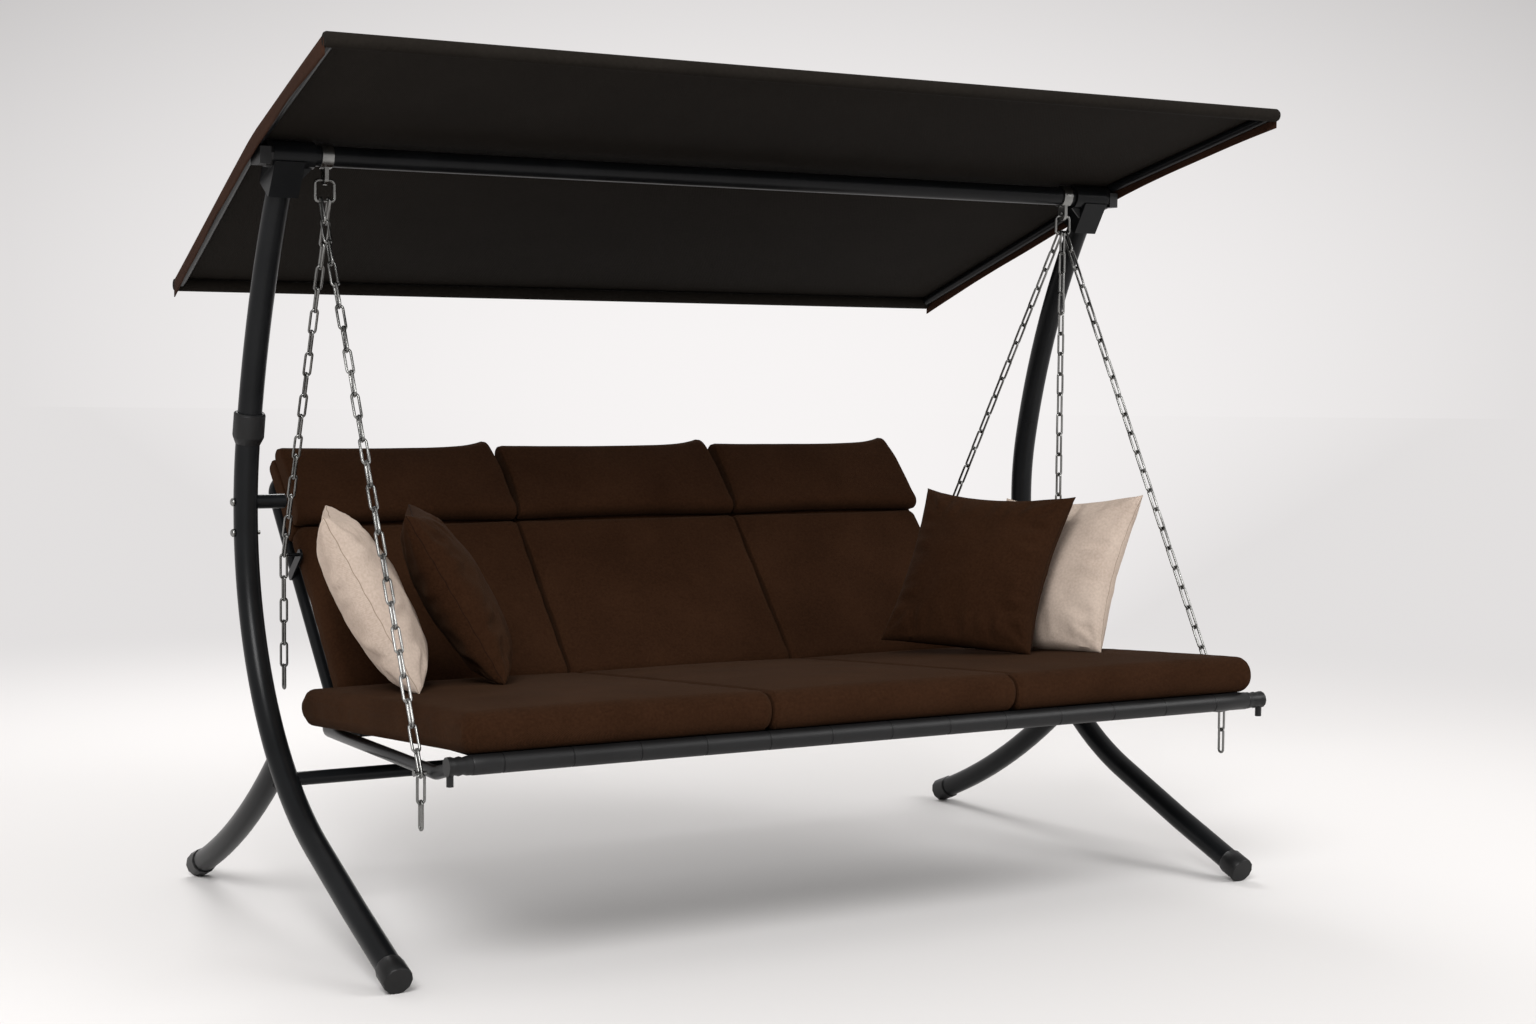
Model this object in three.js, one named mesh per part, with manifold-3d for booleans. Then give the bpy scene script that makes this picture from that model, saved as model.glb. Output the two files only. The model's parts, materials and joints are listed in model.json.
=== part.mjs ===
// Three-seat garden swing: two curved side frames, a beam, a tilting canopy and
// a seat on chains with a reclining back, pads, headrests and loose cushions.
// Millimetres, +X to the right seen from the front, +Y to the rear, +Z up.
import * as THREE from 'three';
import { mergeVertices } from 'three/addons/utils/BufferGeometryUtils.js';
import Module from 'manifold-3d';

const wasm = await Module();
wasm.setup();

// Clearances, and how far a cutting tool runs past what it cuts
const GAP = 0.3;
const OVERRUN = 5;

// Side frames
const SIDE_SPACING = 2000;
const TUBE_DIAMETER = 50;
const FOOT_FRONT_Y = -560;
const FOOT_HEADING = 20.5;
const FOOT_LENGTH = 456;
const FOOT_BEND_ANGLE = 2.9;
const MAIN_BEND_RADIUS = 684;
const MAIN_BEND_ANGLE = 78.3;
const UPPER_BEND_RADIUS = 1682;
const UPPER_BEND_ANGLE = 21.6;
const COUPLING_Z = 1008;
const SPIGOT_DIAMETER = 42;
const SPIGOT_LENGTH = 45;
const COLLAR_DIAMETER = 66;
const COLLAR_LENGTH = 50;
const COLLAR_TAPER = 16;
const REAR_JOINT_ALONG = 706;
const REAR_TOP_SLOPE = 40;
const REAR_FOOT_SLOPE = 20;
const CAP_WALL = 3.2;
const CAP_END = 4;
const CAP_LENGTH = 44;
const CAP_FLAT = 2.2;
const GUSSET_THICKNESS = 8;
const GUSSET_REACH = 95;
const CROSSBAR_ALONG = 655;
const CROSSBAR_DIAMETER = 28;
const STUB_Z = 846;
const STUB_DIAMETER = 30;
const STUB_LENGTH = 60;
const BOLT_DIAMETER = 10;
const BOLT_HEAD_DIAMETER = 18;
const BOLT_HEAD_HEIGHT = 7;
const STUB_BOLT_PITCH = 64;
const EYE_Z = 392;
const EYE_DIAMETER = 32;
const EYE_WIRE = 6;

// Beam, the sockets that take the posts, and the hooks
const BEAM_DIAMETER = 42;
const BEAM_OVERHANG = 33;
const SOCKET_WALL = 6;
const SOCKET_REACH = 55;
const SOCKET_WIDTH = 62;
const SOCKET_DROP = 80;
const RIB_THICKNESS = 6;
const RIB_REACH = 28;
const HOOK_INSET = 80;
const HOOK_WIDTH = 24;
const HOOK_WALL = 4;
const LUG_THICKNESS = 8;
const LUG_RADIUS = 13;
const LUG_DROP = 44;
const LUG_HOLE = 12;

// Canopy, measured from the beam's axis
const CANOPY_RAIL_OUTSET = 24.377;
const CANOPY_TAPER_ANGLE = 4.68593;
const CANOPY_FRONT_REACH = 520;
const CANOPY_REAR_REACH = 700;
const CANOPY_FRONT_SLOPE = 14.7;
const CANOPY_REAR_SLOPE = 20.4;
const CANOPY_LIFT = 22;
const RAIL_DIAMETER = 20;
const RAIL_BEND = 60;
const HEM_DIAMETER = 29;
const CLOTH_THICKNESS = 3;
const CLOTH_SAG = 7;
const VALANCE_DEPTH = 38;
const CLAMP_DIAMETER = 54;
const CLAMP_THICKNESS = 12;
const CLAMP_BLOCK_LENGTH = 56;
const CLAMP_BLOCK_HEIGHT = 34;
const CLAMP_SHAFT_DIAMETER = 16;
const CLAMP_SHAFT_LENGTH = 32;

// Hanging gear
const RING_WIRE = 6;
const RING_WIDTH = 40;
const RING_HEIGHT = 42;
const LINK_PITCH = 48;
const LINK_WIRE = 5.4;
const LINK_WIDTH = 19.4;
const LINK_FLAT = 10;
const LINK_WELD = 0.4;
const CHAIN_SPREAD = 8;
const FRONT_SPARE_LINKS = 2;
const REAR_SPARE_LINKS = 6;
const LOOSE_CHAIN_LINKS = 17;

// Seat frame
const FRONT_TUBE_Y = -665;
const FRONT_TUBE_Z = 425;
const FRONT_TUBE_DIAMETER = 28;
const FITTING_START = 905;
const FITTING_END = 951;
const FITTING_DIAMETER = 36;
const FITTING_NECK = 31;
const FITTING_PEG_DIAMETER = 14;
const FITTING_PEG_DROP = 36;
const LOOP_DIAMETER = 36;
const LOOP_PITCH = 138;
const LOOP_COUNT = 13;
const FIRST_NOTCH_X = -845;
const NOTCH_DEPTH = 2.5;
const SLING_THICKNESS = 3;
const SLING_REAR_WIDTH = 1600;
const REAR_LOOP_DIAMETER = 30;
const SEAT_TUBE_DIAMETER = 25;
const RAIL_FRONT_X = 925;
const RAIL_REAR_X = 850;
const RAIL_FRONT_BEND_Y = -560;
const RAIL_FRONT_BEND_Z = 397;
const RAIL_REAR_BEND_Y = 200;
const RAIL_REAR_BEND_Z = 367;
const SEAT_BEND = 30;
const REAR_TUBE_Y = 150;
const REAR_TUBE_Z = 371;
const FRONT_PIN_Y = -540;
const PIN_DIAMETER = 6;
const PIN_HEAD_DIAMETER = 13;
const PIN_HEAD_HEIGHT = 4;
const CHAIN_CLEARANCE = 3;

// Back frame, in its own slope
const HINGE_Y = 255;
const HINGE_Z = 405;
const BACK_SLOPE = 49;
const BACK_TUBE_SPACING = 1630;
const BACK_LENGTH = 628;
const BACK_CORNER = 60;
const LOWER_RAIL_ALONG = 70;
const EAR_DIAMETER = 30;
const EAR_THICKNESS = 7;
const EAR_LENGTH = 46;
const EAR_HEIGHT = 20;
const EAR_SHARE = 0.75;
const HINGE_BOLT_DIAMETER = 10;
const HINGE_BOLT_HEAD = 20;
const HINGE_BOLT_HEAD_HEIGHT = 7;
const CATCH_ALONG = 352;
const CATCH_REACH = 74;
const CATCH_WIDTH = 22;
const CATCH_THICKNESS = 5;
const CATCH_PIN_DIAMETER = 8;
const CATCH_CHAIN_X = 864;
const CATCH_GAP = 0.4;

// Pads and cushions
const SEAT_PAD_TOTAL = 1840;
const BACK_PAD_TOTAL = 1640;
const PAD_JOINT_SPACING = 574;
const PAD_GAP = 4;
const SEAT_PAD_REAR_GAP = 74.25;
const SEAT_PAD_THICKNESS = 76;
const SEAT_PAD_OVERHANG = 20;
const BACK_PAD_LENGTH = 642;
const BACK_PAD_THICKNESS = 64;
const BACK_PAD_START = -5;
const HEADREST_START = 432;
const HEADREST_THICKNESS = 46;
const HEADREST_RAISE = 24;
const HEADREST_CROWN = 6;
const PAD_CROWN = 9;
const PAD_DRAW_IN = 5;
const PAD_EDGE = 9;
const CUSHION_SIZE = 390;
const CUSHION_THICKNESS = 128;
const CUSHION_DRAW_IN = 26;
const CUSHION_RIM = 5;

// Facets round each kind of bar, and rings along the bent tubes
const TUBE_SIDES = 12;
const SMALL_SIDES = 8;
const RING_SIDES = 6;
const LINK_SIDES = 3;
const LOWER_STEPS = 16;
const UPPER_STEPS = 6;
const REAR_STEPS = 7;
const BEND_STEPS = 4;

const FRAME_PAINT = { color: 0x1c1e1f, roughness: 0.42, metalness: 0.35 };
const PLASTIC = { color: 0x161717, roughness: 0.6, metalness: 0 };
const STEEL = { color: 0xb4b4b0, roughness: 0.3, metalness: 1 };
const BROWN = { color: 0x3c2419, roughness: 0.95, metalness: 0 };
const CREAM = { color: 0xc4b2a0, roughness: 0.95, metalness: 0 };
const CANOPY_CLOTH = { color: 0x2a211c, roughness: 0.9, metalness: 0 };
const SLING_CLOTH = { color: 0x1a1a1a, roughness: 0.85, metalness: 0 };

const SIDES = [
  { word: 'left', sign: -1 },
  { word: 'right', sign: 1 },
];
const PLACES = [
  { word: 'left', sign: -1 },
  { word: 'centre', sign: 0 },
  { word: 'right', sign: 1 },
];
const { degToRad } = THREE.MathUtils;
const point = (x, y, z) => new THREE.Vector3(x, y, z);

const model = new THREE.Group();

function addPart(name, geometry, finish, parent = model) {
  const mesh = new THREE.Mesh(geometry, new THREE.MeshStandardMaterial(finish));
  mesh.name = name;
  parent.add(mesh);
  return mesh;
}

// Solids
function toSolid(geometry) {
  const bare = geometry.clone();
  bare.deleteAttribute('normal');
  bare.deleteAttribute('uv');
  const merged = mergeVertices(bare, GAP / 1000);
  const vertProperties = new Float32Array(merged.attributes.position.array);
  const triVerts = new Uint32Array(merged.index.array);
  return new wasm.Manifold(new wasm.Mesh({ numProp: 3, vertProperties, triVerts }));
}

function fromSolid(solid) {
  const mesh = solid.getMesh();
  const geometry = new THREE.BufferGeometry();
  geometry.setAttribute('position', new THREE.BufferAttribute(mesh.vertProperties, 3));
  geometry.setIndex(new THREE.BufferAttribute(mesh.triVerts, 1));
  return geometry;
}

function join(...geometries) {
  return fromSolid(geometries.map(toSolid).reduce((whole, piece) => whole.add(piece)));
}

function cut(geometry, ...tools) {
  return fromSolid(tools.map(toSolid).reduce((rest, tool) => rest.subtract(tool), toSolid(geometry)));
}

// Turns the faces of a hand-made skin outwards
function facingOut(geometry) {
  const place = geometry.attributes.position;
  const corners = geometry.index.array;
  const [a, b, c] = [point(), point(), point()];
  let volume = 0;
  for (let i = 0; i < corners.length; i += 3) {
    a.fromBufferAttribute(place, corners[i]);
    b.fromBufferAttribute(place, corners[i + 1]);
    c.fromBufferAttribute(place, corners[i + 2]);
    volume += a.dot(b.cross(c));
  }
  if (volume < 0) {
    for (let i = 0; i < corners.length; i += 3) {
      [corners[i + 1], corners[i + 2]] = [corners[i + 2], corners[i + 1]];
    }
  }
  return geometry;
}

function skin(positions, index) {
  const geometry = new THREE.BufferGeometry();
  geometry.setAttribute('position', new THREE.Float32BufferAttribute(positions, 3));
  geometry.setIndex(index);
  return facingOut(geometry);
}

function polygon(radius, sides) {
  const corners = Array.from({ length: sides }, (_, i) => (i / sides) * Math.PI * 2);
  return new THREE.Shape(
    corners.map((angle) => new THREE.Vector2(radius * Math.cos(angle), radius * Math.sin(angle))),
  );
}

// A round bar from one point to another
function bar(from, to, diameter, sides = TUBE_SIDES) {
  const along = to.clone().sub(from);
  const middle = from.clone().addScaledVector(along, 1 / 2);
  const turn = new THREE.Quaternion().setFromUnitVectors(point(0, 1, 0), along.clone().normalize());
  return new THREE.CylinderGeometry(diameter / 2, diameter / 2, along.length(), sides)
    .applyQuaternion(turn)
    .translate(middle.x, middle.y, middle.z);
}

function barX(fromX, toX, { y, z }, diameter, sides = TUBE_SIDES) {
  return bar(point(fromX, y, z), point(toX, y, z), diameter, sides);
}

// How wide a faceted hole is that a faceted shaft of this diameter turns in
const turningHole = (diameter) => (diameter + GAP * 2) / Math.cos(Math.PI / SMALL_SIDES);

function block(width, depth, height, centre) {
  return new THREE.BoxGeometry(width, depth, height).translate(centre.x, centre.y, centre.z);
}

// A profile of radius and place, turned about the X axis through a point
function turnedX(profile, { y, z }, sides = SMALL_SIDES) {
  const corners = profile.map(([radius, place]) => new THREE.Vector2(radius, place));
  return new THREE.LatheGeometry(corners, sides).rotateZ(-Math.PI / 2).translate(0, y, z);
}

// A flat plate that stands across X, its outline given in Y and Z
function plateAcrossX(outline, thickness, x) {
  const shape = new THREE.Shape(outline.map(({ y, z }) => new THREE.Vector2(y, z)));
  return new THREE.ExtrudeGeometry(shape, { depth: thickness, bevelEnabled: false })
    .rotateX(Math.PI / 2)
    .rotateZ(Math.PI / 2)
    .translate(x - thickness / 2, 0, 0);
}

// A path in the YZ plane made of arcs, like a bent tube's centre line
class BentPath {
  constructor(start, headingDegrees, runs) {
    let { y, z } = start;
    let heading = degToRad(headingDegrees);
    this.runs = [];
    for (const { length, turn } of runs) {
      const run = { y, z, heading, length, turn };
      this.runs.push(run);
      ({ y, z, heading } = BentPath.along(run, length));
    }
    this.total = this.runs.reduce((sum, run) => sum + run.length, 0);
  }

  static arc(radius, degrees) {
    return { length: radius * Math.abs(degToRad(degrees)), turn: degToRad(degrees) };
  }

  static along({ y, z, heading, length, turn }, distance) {
    const radius = length / turn;
    const angle = heading + (turn * distance) / length;
    return {
      y: y + radius * (Math.sin(angle) - Math.sin(heading)),
      z: z - radius * (Math.cos(angle) - Math.cos(heading)),
      heading: angle,
    };
  }

  at(distance) {
    let rest = distance;
    for (const run of this.runs.slice(0, -1)) {
      if (rest <= run.length) return BentPath.along(run, rest);
      rest -= run.length;
    }
    return BentPath.along(this.runs[this.runs.length - 1], rest);
  }

  // How far along the path it first reaches a height
  alongAtHeight(height) {
    let [low, high] = [0, this.total];
    while (high - low > GAP / 100) {
      const middle = (low + high) / 2;
      if (this.at(middle).z < height) low = middle;
      else high = middle;
    }
    return low;
  }
}

// Part of a bent path, in the plane of one side frame
class Stretch extends THREE.Curve {
  constructor(path, from, to, x) {
    super();
    Object.assign(this, { path, from, to, x });
  }

  getPoint(t, target = new THREE.Vector3()) {
    const { y, z } = this.path.at(this.from + t * (this.to - this.from));
    return target.set(this.x, y, z);
  }
}

function tubeAlong(curve, diameter, steps, sides = TUBE_SIDES) {
  const shape = polygon(diameter / 2, sides);
  return new THREE.ExtrudeGeometry(shape, { steps, extrudePath: curve, bevelEnabled: false });
}

// A path through corner points, each corner rounded off
function roundedPath(points, reach) {
  const path = new THREE.CurvePath();
  let from = points[0];
  for (let i = 1; i < points.length - 1; i += 1) {
    const corner = points[i];
    const enter = corner.clone().add(from.clone().sub(corner).setLength(reach));
    const leave = corner.clone().add(points[i + 1].clone().sub(corner).setLength(reach));
    path.add(new THREE.LineCurve3(from, enter));
    path.add(new THREE.QuadraticBezierCurve3(enter, corner, leave));
    from = leave;
  }
  path.add(new THREE.LineCurve3(from, points[points.length - 1]));
  return path;
}

// A wire through its stations, with a mitred ring at each
function wireSkin(stations, diameter, sides, isLoop) {
  const count = stations.length;
  const step = (i) => stations[(i + 1 + count) % count].clone().sub(stations[(i + count) % count]);
  const positions = [];
  const index = [];
  let flat = point();
  for (let i = 1; i < count - 1 && flat.length() < GAP; i += 1) flat = step(i - 1).cross(step(i));
  flat.normalize();
  for (let i = 0; i < count; i += 1) {
    const entering = (!isLoop && i === 0 ? step(0) : step(i - 1)).normalize();
    const leaving = (!isLoop && i === count - 1 ? step(i - 1) : step(i)).normalize();
    const tangent = entering.clone().add(leaving).normalize();
    const across = flat.clone().cross(tangent).normalize();
    const up = tangent.clone().cross(across);
    const mitre = 1 / Math.cos(entering.angleTo(leaving) / 2);
    for (let s = 0; s < sides; s += 1) {
      const angle = ((s + 1 / 2) / sides) * Math.PI * 2;
      const place = stations[i]
        .clone()
        .addScaledVector(across, (diameter / 2) * Math.cos(angle) * mitre)
        .addScaledVector(up, (diameter / 2) * Math.sin(angle));
      positions.push(place.x, place.y, place.z);
    }
  }
  for (let i = 0; i < (isLoop ? count : count - 1); i += 1) {
    const near = i * sides;
    const far = ((i + 1) % count) * sides;
    for (let s = 0; s < sides; s += 1) {
      const next = (s + 1) % sides;
      index.push(near + s, far + s, far + next, near + s, far + next, near + next);
    }
  }
  if (!isLoop) {
    const last = (count - 1) * sides;
    for (let s = 1; s < sides - 1; s += 1) index.push(0, s, s + 1, last, last + s + 1, last + s);
  }
  return skin(positions, index);
}

// A bent tube whose rings stand only where the path bends
function tubeThrough(path, diameter, sides) {
  const stations = [path.curves[0].getPoint(0)];
  for (const curve of path.curves) {
    const steps = curve.isLineCurve3 ? 1 : BEND_STEPS;
    for (let i = 1; i <= steps; i += 1) stations.push(curve.getPoint(i / steps));
  }
  return wireSkin(stations, diameter, sides, false);
}

// Side frames: the post's centre line, and the rear leg's, which leaves it low down
const capRadius = TUBE_DIAMETER / 2 + GAP + CAP_WALL;
const footHeight = (slope) =>
  capRadius * Math.cos(degToRad(slope)) + CAP_END * Math.sin(degToRad(slope)) - CAP_FLAT;
const postPath = new BentPath({ y: FOOT_FRONT_Y, z: footHeight(FOOT_HEADING) }, FOOT_HEADING, [
  { length: FOOT_LENGTH, turn: degToRad(FOOT_BEND_ANGLE) },
  BentPath.arc(MAIN_BEND_RADIUS, MAIN_BEND_ANGLE),
  BentPath.arc(UPPER_BEND_RADIUS, UPPER_BEND_ANGLE),
]);
const couplingAlong = postPath.alongAtHeight(COUPLING_Z);
const beam = postPath.at(postPath.total);
const postEndAlong = postPath.total - BEAM_DIAMETER / 2 - GAP - SOCKET_WALL;

const rearJoint = postPath.at(REAR_JOINT_ALONG);
const [steep, shallow] = [degToRad(REAR_TOP_SLOPE), degToRad(REAR_FOOT_SLOPE)];
const rearRadius = (rearJoint.z - footHeight(REAR_FOOT_SLOPE)) / (Math.cos(shallow) - Math.cos(steep));
const rearFoot = {
  y: rearJoint.y + rearRadius * (Math.sin(steep) - Math.sin(shallow)),
  z: footHeight(REAR_FOOT_SLOPE),
};
const rearPath = new BentPath(rearFoot, 180 - REAR_FOOT_SLOPE, [
  { length: rearRadius * (steep - shallow), turn: shallow - steep },
]);

const WIDE_TUBE = TUBE_DIAMETER + GAP * 2;
const lowerTube = (x, diameter) =>
  tubeAlong(new Stretch(postPath, 0, couplingAlong, x), diameter, LOWER_STEPS);
const upperTube = (x, diameter) =>
  tubeAlong(new Stretch(postPath, couplingAlong + GAP, postEndAlong, x), diameter, UPPER_STEPS);
const rearTube = (x, diameter) =>
  tubeAlong(new Stretch(rearPath, 0, rearPath.total, x), diameter, REAR_STEPS);

function frontLeg(x, screwPlaces, isTied) {
  const bore = new Stretch(postPath, couplingAlong - SPIGOT_LENGTH - GAP, couplingAlong + OVERRUN, x);
  const holes = screwPlaces.map((place) =>
    barX(x - TUBE_DIAMETER, x + TUBE_DIAMETER, place, BOLT_DIAMETER + GAP * 2, SMALL_SIDES));
  const tube = isTied ? join(lowerTube(x, TUBE_DIAMETER), tieEye(x)) : lowerTube(x, TUBE_DIAMETER);
  return cut(tube, tubeAlong(bore, SPIGOT_DIAMETER + GAP * 2, 1), ...holes);
}

function upperPost(x) {
  const spigot = new Stretch(postPath, couplingAlong - SPIGOT_LENGTH, couplingAlong + OVERRUN, x);
  return join(upperTube(x, TUBE_DIAMETER), tubeAlong(spigot, SPIGOT_DIAMETER, 1));
}

// A sleeve over the joint of the post's two tubes, tapered at its lower end
function postCollar(x) {
  const inner = WIDE_TUBE / 2 + GAP;
  const outer = COLLAR_DIAMETER / 2;
  const lip = inner + GAP * 2;
  const half = COLLAR_LENGTH / 2;
  const bevel = (outer - lip) / 2;
  const profile = [
    [inner, -half - COLLAR_TAPER],
    [lip, -half - COLLAR_TAPER],
    [outer, -half],
    [outer, half - bevel],
    [outer - bevel, half],
    [inner, half],
    [inner, -half - COLLAR_TAPER],
  ];
  const { y, z, heading } = postPath.at(couplingAlong);
  const corners = profile.map(([radius, place]) => new THREE.Vector2(radius, place));
  const sleeve = new THREE.LatheGeometry(corners, TUBE_SIDES).rotateX(heading).translate(x, y, z);
  return cut(sleeve, lowerTube(x, WIDE_TUBE), upperTube(x, WIDE_TUBE));
}

// A cup over a tube's end, with a flat to stand on
function footCap(path, tube, x, swell) {
  const inner = TUBE_DIAMETER / 2 + GAP;
  const rim = capRadius - CAP_WALL / 2;
  const profile = [
    [0, -CAP_END - swell],
    [rim - swell, -CAP_END - swell],
    [capRadius, -(CAP_END + swell) / 2],
    [capRadius, CAP_LENGTH - CAP_WALL],
    [rim, CAP_LENGTH],
    [inner, CAP_LENGTH],
    [inner, -GAP],
    [0, -GAP],
  ];
  const corners = profile.map(([radius, place]) => new THREE.Vector2(radius, place));
  const { y, z, heading } = path.at(0);
  const cup = new THREE.LatheGeometry(corners, TUBE_SIDES).rotateX(heading).translate(x, y, z);
  const ground = block(TUBE_DIAMETER * 2, CAP_LENGTH * 4, CAP_LENGTH, point(x, y, -CAP_LENGTH / 2));
  return cut(cup, ground, tube(x, WIDE_TUBE));
}

function rearLeg(x) {
  return cut(rearTube(x, TUBE_DIAMETER), lowerTube(x, WIDE_TUBE));
}

// The stiffening plate in the crook below the rear leg's joint
function legGusset(x) {
  const low = postPath.at(REAR_JOINT_ALONG - GUSSET_REACH);
  const back = rearPath.at(rearPath.total - GUSSET_REACH);
  const plate = plateAcrossX([rearJoint, low, back], GUSSET_THICKNESS, x);
  return cut(plate, lowerTube(x, WIDE_TUBE), rearTube(x, WIDE_TUBE));
}

function lowerCrossbar() {
  const place = postPath.at(CROSSBAR_ALONG);
  const length = barX(-SIDE_SPACING / 2, SIDE_SPACING / 2, place, CROSSBAR_DIAMETER);
  return cut(length, ...SIDES.map(({ sign }) => lowerTube((sign * SIDE_SPACING) / 2, WIDE_TUBE)));
}

// Only the left side frame has the side stub, its screws, the collar and the eye
const stubPlace = postPath.at(postPath.alongAtHeight(STUB_Z));
const lowScrewPlace = postPath.at(postPath.alongAtHeight(STUB_Z - STUB_BOLT_PITCH));

function sideStub(x) {
  const end = x + TUBE_DIAMETER / 2 + STUB_LENGTH;
  const hole = barX(x, end - STUB_LENGTH / 2, stubPlace, BOLT_DIAMETER + GAP * 2, SMALL_SIDES);
  return cut(barX(x, end, stubPlace, STUB_DIAMETER), lowerTube(x, WIDE_TUBE), hole);
}

// A domed screw whose shank runs along X from the outer side of the left post
function sideScrew(place, x, shankEnd) {
  const seat = x - TUBE_DIAMETER / 2 - GAP;
  const top = seat - BOLT_HEAD_HEIGHT;
  const rim = BOLT_HEAD_DIAMETER / 2;
  const profile = [[0, top], [rim * 0.6, top], [rim, top + BOLT_HEAD_HEIGHT / 2], [rim, seat], [0, seat]];
  const dome = turnedX(profile, place);
  return join(dome, barX(seat - BOLT_HEAD_HEIGHT / 2, shankEnd, place, BOLT_DIAMETER, SMALL_SIDES));
}

// An eye welded on the rear of the left post
function tieEye(x) {
  const { y, z, heading } = postPath.at(postPath.alongAtHeight(EYE_Z));
  const away = point(0, Math.sin(heading), -Math.cos(heading));
  const seat = point(x, y, z).addScaledVector(away, TUBE_DIAMETER / 2 - EYE_WIRE / 3);
  const centre = seat.clone().addScaledVector(away, EYE_DIAMETER / 2);
  const ring = new THREE.TorusGeometry((EYE_DIAMETER - EYE_WIRE) / 2, EYE_WIRE / 2, RING_SIDES, TUBE_SIDES)
    .rotateY(Math.PI / 2)
    .translate(centre.x, centre.y, centre.z);
  const foot = bar(seat, seat.clone().addScaledVector(away, EYE_WIRE * 0.9), EYE_WIRE * 2, SMALL_SIDES);
  return join(ring, foot);
}

for (const { word, sign } of SIDES) {
  const x = (sign * SIDE_SPACING) / 2;
  const isLeft = sign < 0;
  const screwPlaces = isLeft ? [stubPlace, lowScrewPlace] : [];
  addPart(`front_leg_${word}`, frontLeg(x, screwPlaces, isLeft), FRAME_PAINT);
  addPart(`upper_post_${word}`, upperPost(x), FRAME_PAINT);
  addPart(`rear_leg_${word}`, rearLeg(x), FRAME_PAINT);
  addPart(`leg_gusset_${word}`, legGusset(x), FRAME_PAINT);
  addPart(`front_foot_${word}`, footCap(postPath, lowerTube, x, 0), PLASTIC);
  addPart(`rear_foot_${word}`, footCap(rearPath, rearTube, x, CAP_END), PLASTIC);
  if (isLeft) {
    addPart('post_collar_left', postCollar(x), PLASTIC);
    addPart('side_stub_left', sideStub(x), FRAME_PAINT);
    addPart('stub_screw_upper', sideScrew(stubPlace, x, x + TUBE_DIAMETER / 2 + STUB_LENGTH / 3), STEEL);
    addPart('stub_screw_lower', sideScrew(lowScrewPlace, x, x + TUBE_DIAMETER / 2 + OVERRUN), STEEL);
  }
}
addPart('lower_crossbar', lowerCrossbar(), FRAME_PAINT);

// Beam
const beamEnd = SIDE_SPACING / 2 + BEAM_OVERHANG;
const socketStart = SIDE_SPACING / 2 - SOCKET_REACH;
const hookX = SIDE_SPACING / 2 - HOOK_INSET;

function beamTube() {
  const bores = SIDES.map(({ sign }) =>
    barX(sign * (beamEnd - CLAMP_SHAFT_LENGTH - GAP), sign * (beamEnd + OVERRUN), beam,
      turningHole(CLAMP_SHAFT_DIAMETER), SMALL_SIDES));
  return cut(barX(-beamEnd, beamEnd, beam, BEAM_DIAMETER), ...bores);
}

// A collar on the beam with a square socket below it for the post's top
function beamSocket(sign) {
  const x = (sign * SIDE_SPACING) / 2;
  const start = sign * socketStart;
  const collar = barX(start, sign * beamEnd, beam, BEAM_DIAMETER + (GAP + SOCKET_WALL) * 2);
  const { y, z, heading } = postPath.at(postPath.total - SOCKET_DROP / 2);
  const sleeve = new THREE.BoxGeometry(SOCKET_WIDTH, SOCKET_DROP, SOCKET_WIDTH)
    .rotateX(heading)
    .translate(x, y, z);
  const inside = x - sign * (SOCKET_WIDTH / 2 - RIB_THICKNESS / 2);
  const ribTop = beam.z - BEAM_DIAMETER / 2 - SOCKET_WALL / 2;
  const ribShape = new THREE.Shape([
    new THREE.Vector2(inside, ribTop),
    new THREE.Vector2(start, ribTop),
    new THREE.Vector2(inside, ribTop - RIB_REACH),
  ]);
  const rib = new THREE.ExtrudeGeometry(ribShape, { depth: RIB_THICKNESS, bevelEnabled: false })
    .rotateX(Math.PI / 2)
    .translate(0, beam.y + RIB_THICKNESS / 2, 0);
  const top = new Stretch(postPath, postEndAlong - OVERRUN, postEndAlong + GAP, x);
  return cut(
    join(collar, sleeve, rib),
    barX(start - sign * OVERRUN, sign * (beamEnd + OVERRUN), beam, BEAM_DIAMETER + GAP * 2),
    upperTube(x, WIDE_TUBE),
    tubeAlong(top, WIDE_TUBE, 1),
  );
}

// A strap round the beam with a drilled lug below
const lugHole = { y: beam.y, z: beam.z - LUG_DROP };

function beamHook(sign) {
  const x = sign * hookX;
  const half = LUG_THICKNESS / 2;
  return cut(
    join(
      barX(x - HOOK_WIDTH / 2, x + HOOK_WIDTH / 2, beam, BEAM_DIAMETER + (GAP + HOOK_WALL) * 2),
      block(LUG_THICKNESS, LUG_RADIUS * 2, LUG_DROP, point(x, beam.y, beam.z - LUG_DROP / 2)),
      barX(x - half, x + half, lugHole, LUG_RADIUS * 2),
    ),
    barX(x - HOOK_WIDTH, x + HOOK_WIDTH, beam, BEAM_DIAMETER + GAP * 2),
    barX(x - HOOK_WIDTH, x + HOOK_WIDTH, lugHole, LUG_HOLE),
  );
}

addPart('beam', beamTube(), FRAME_PAINT);
for (const { word, sign } of SIDES) {
  addPart(`beam_socket_${word}`, beamSocket(sign), FRAME_PAINT);
  addPart(`beam_hook_${word}`, beamHook(sign), STEEL);
}

// Canopy, in a group on the beam's axis
const canopy = new THREE.Group();
canopy.position.set(0, beam.y, beam.z);
model.add(canopy);

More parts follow.
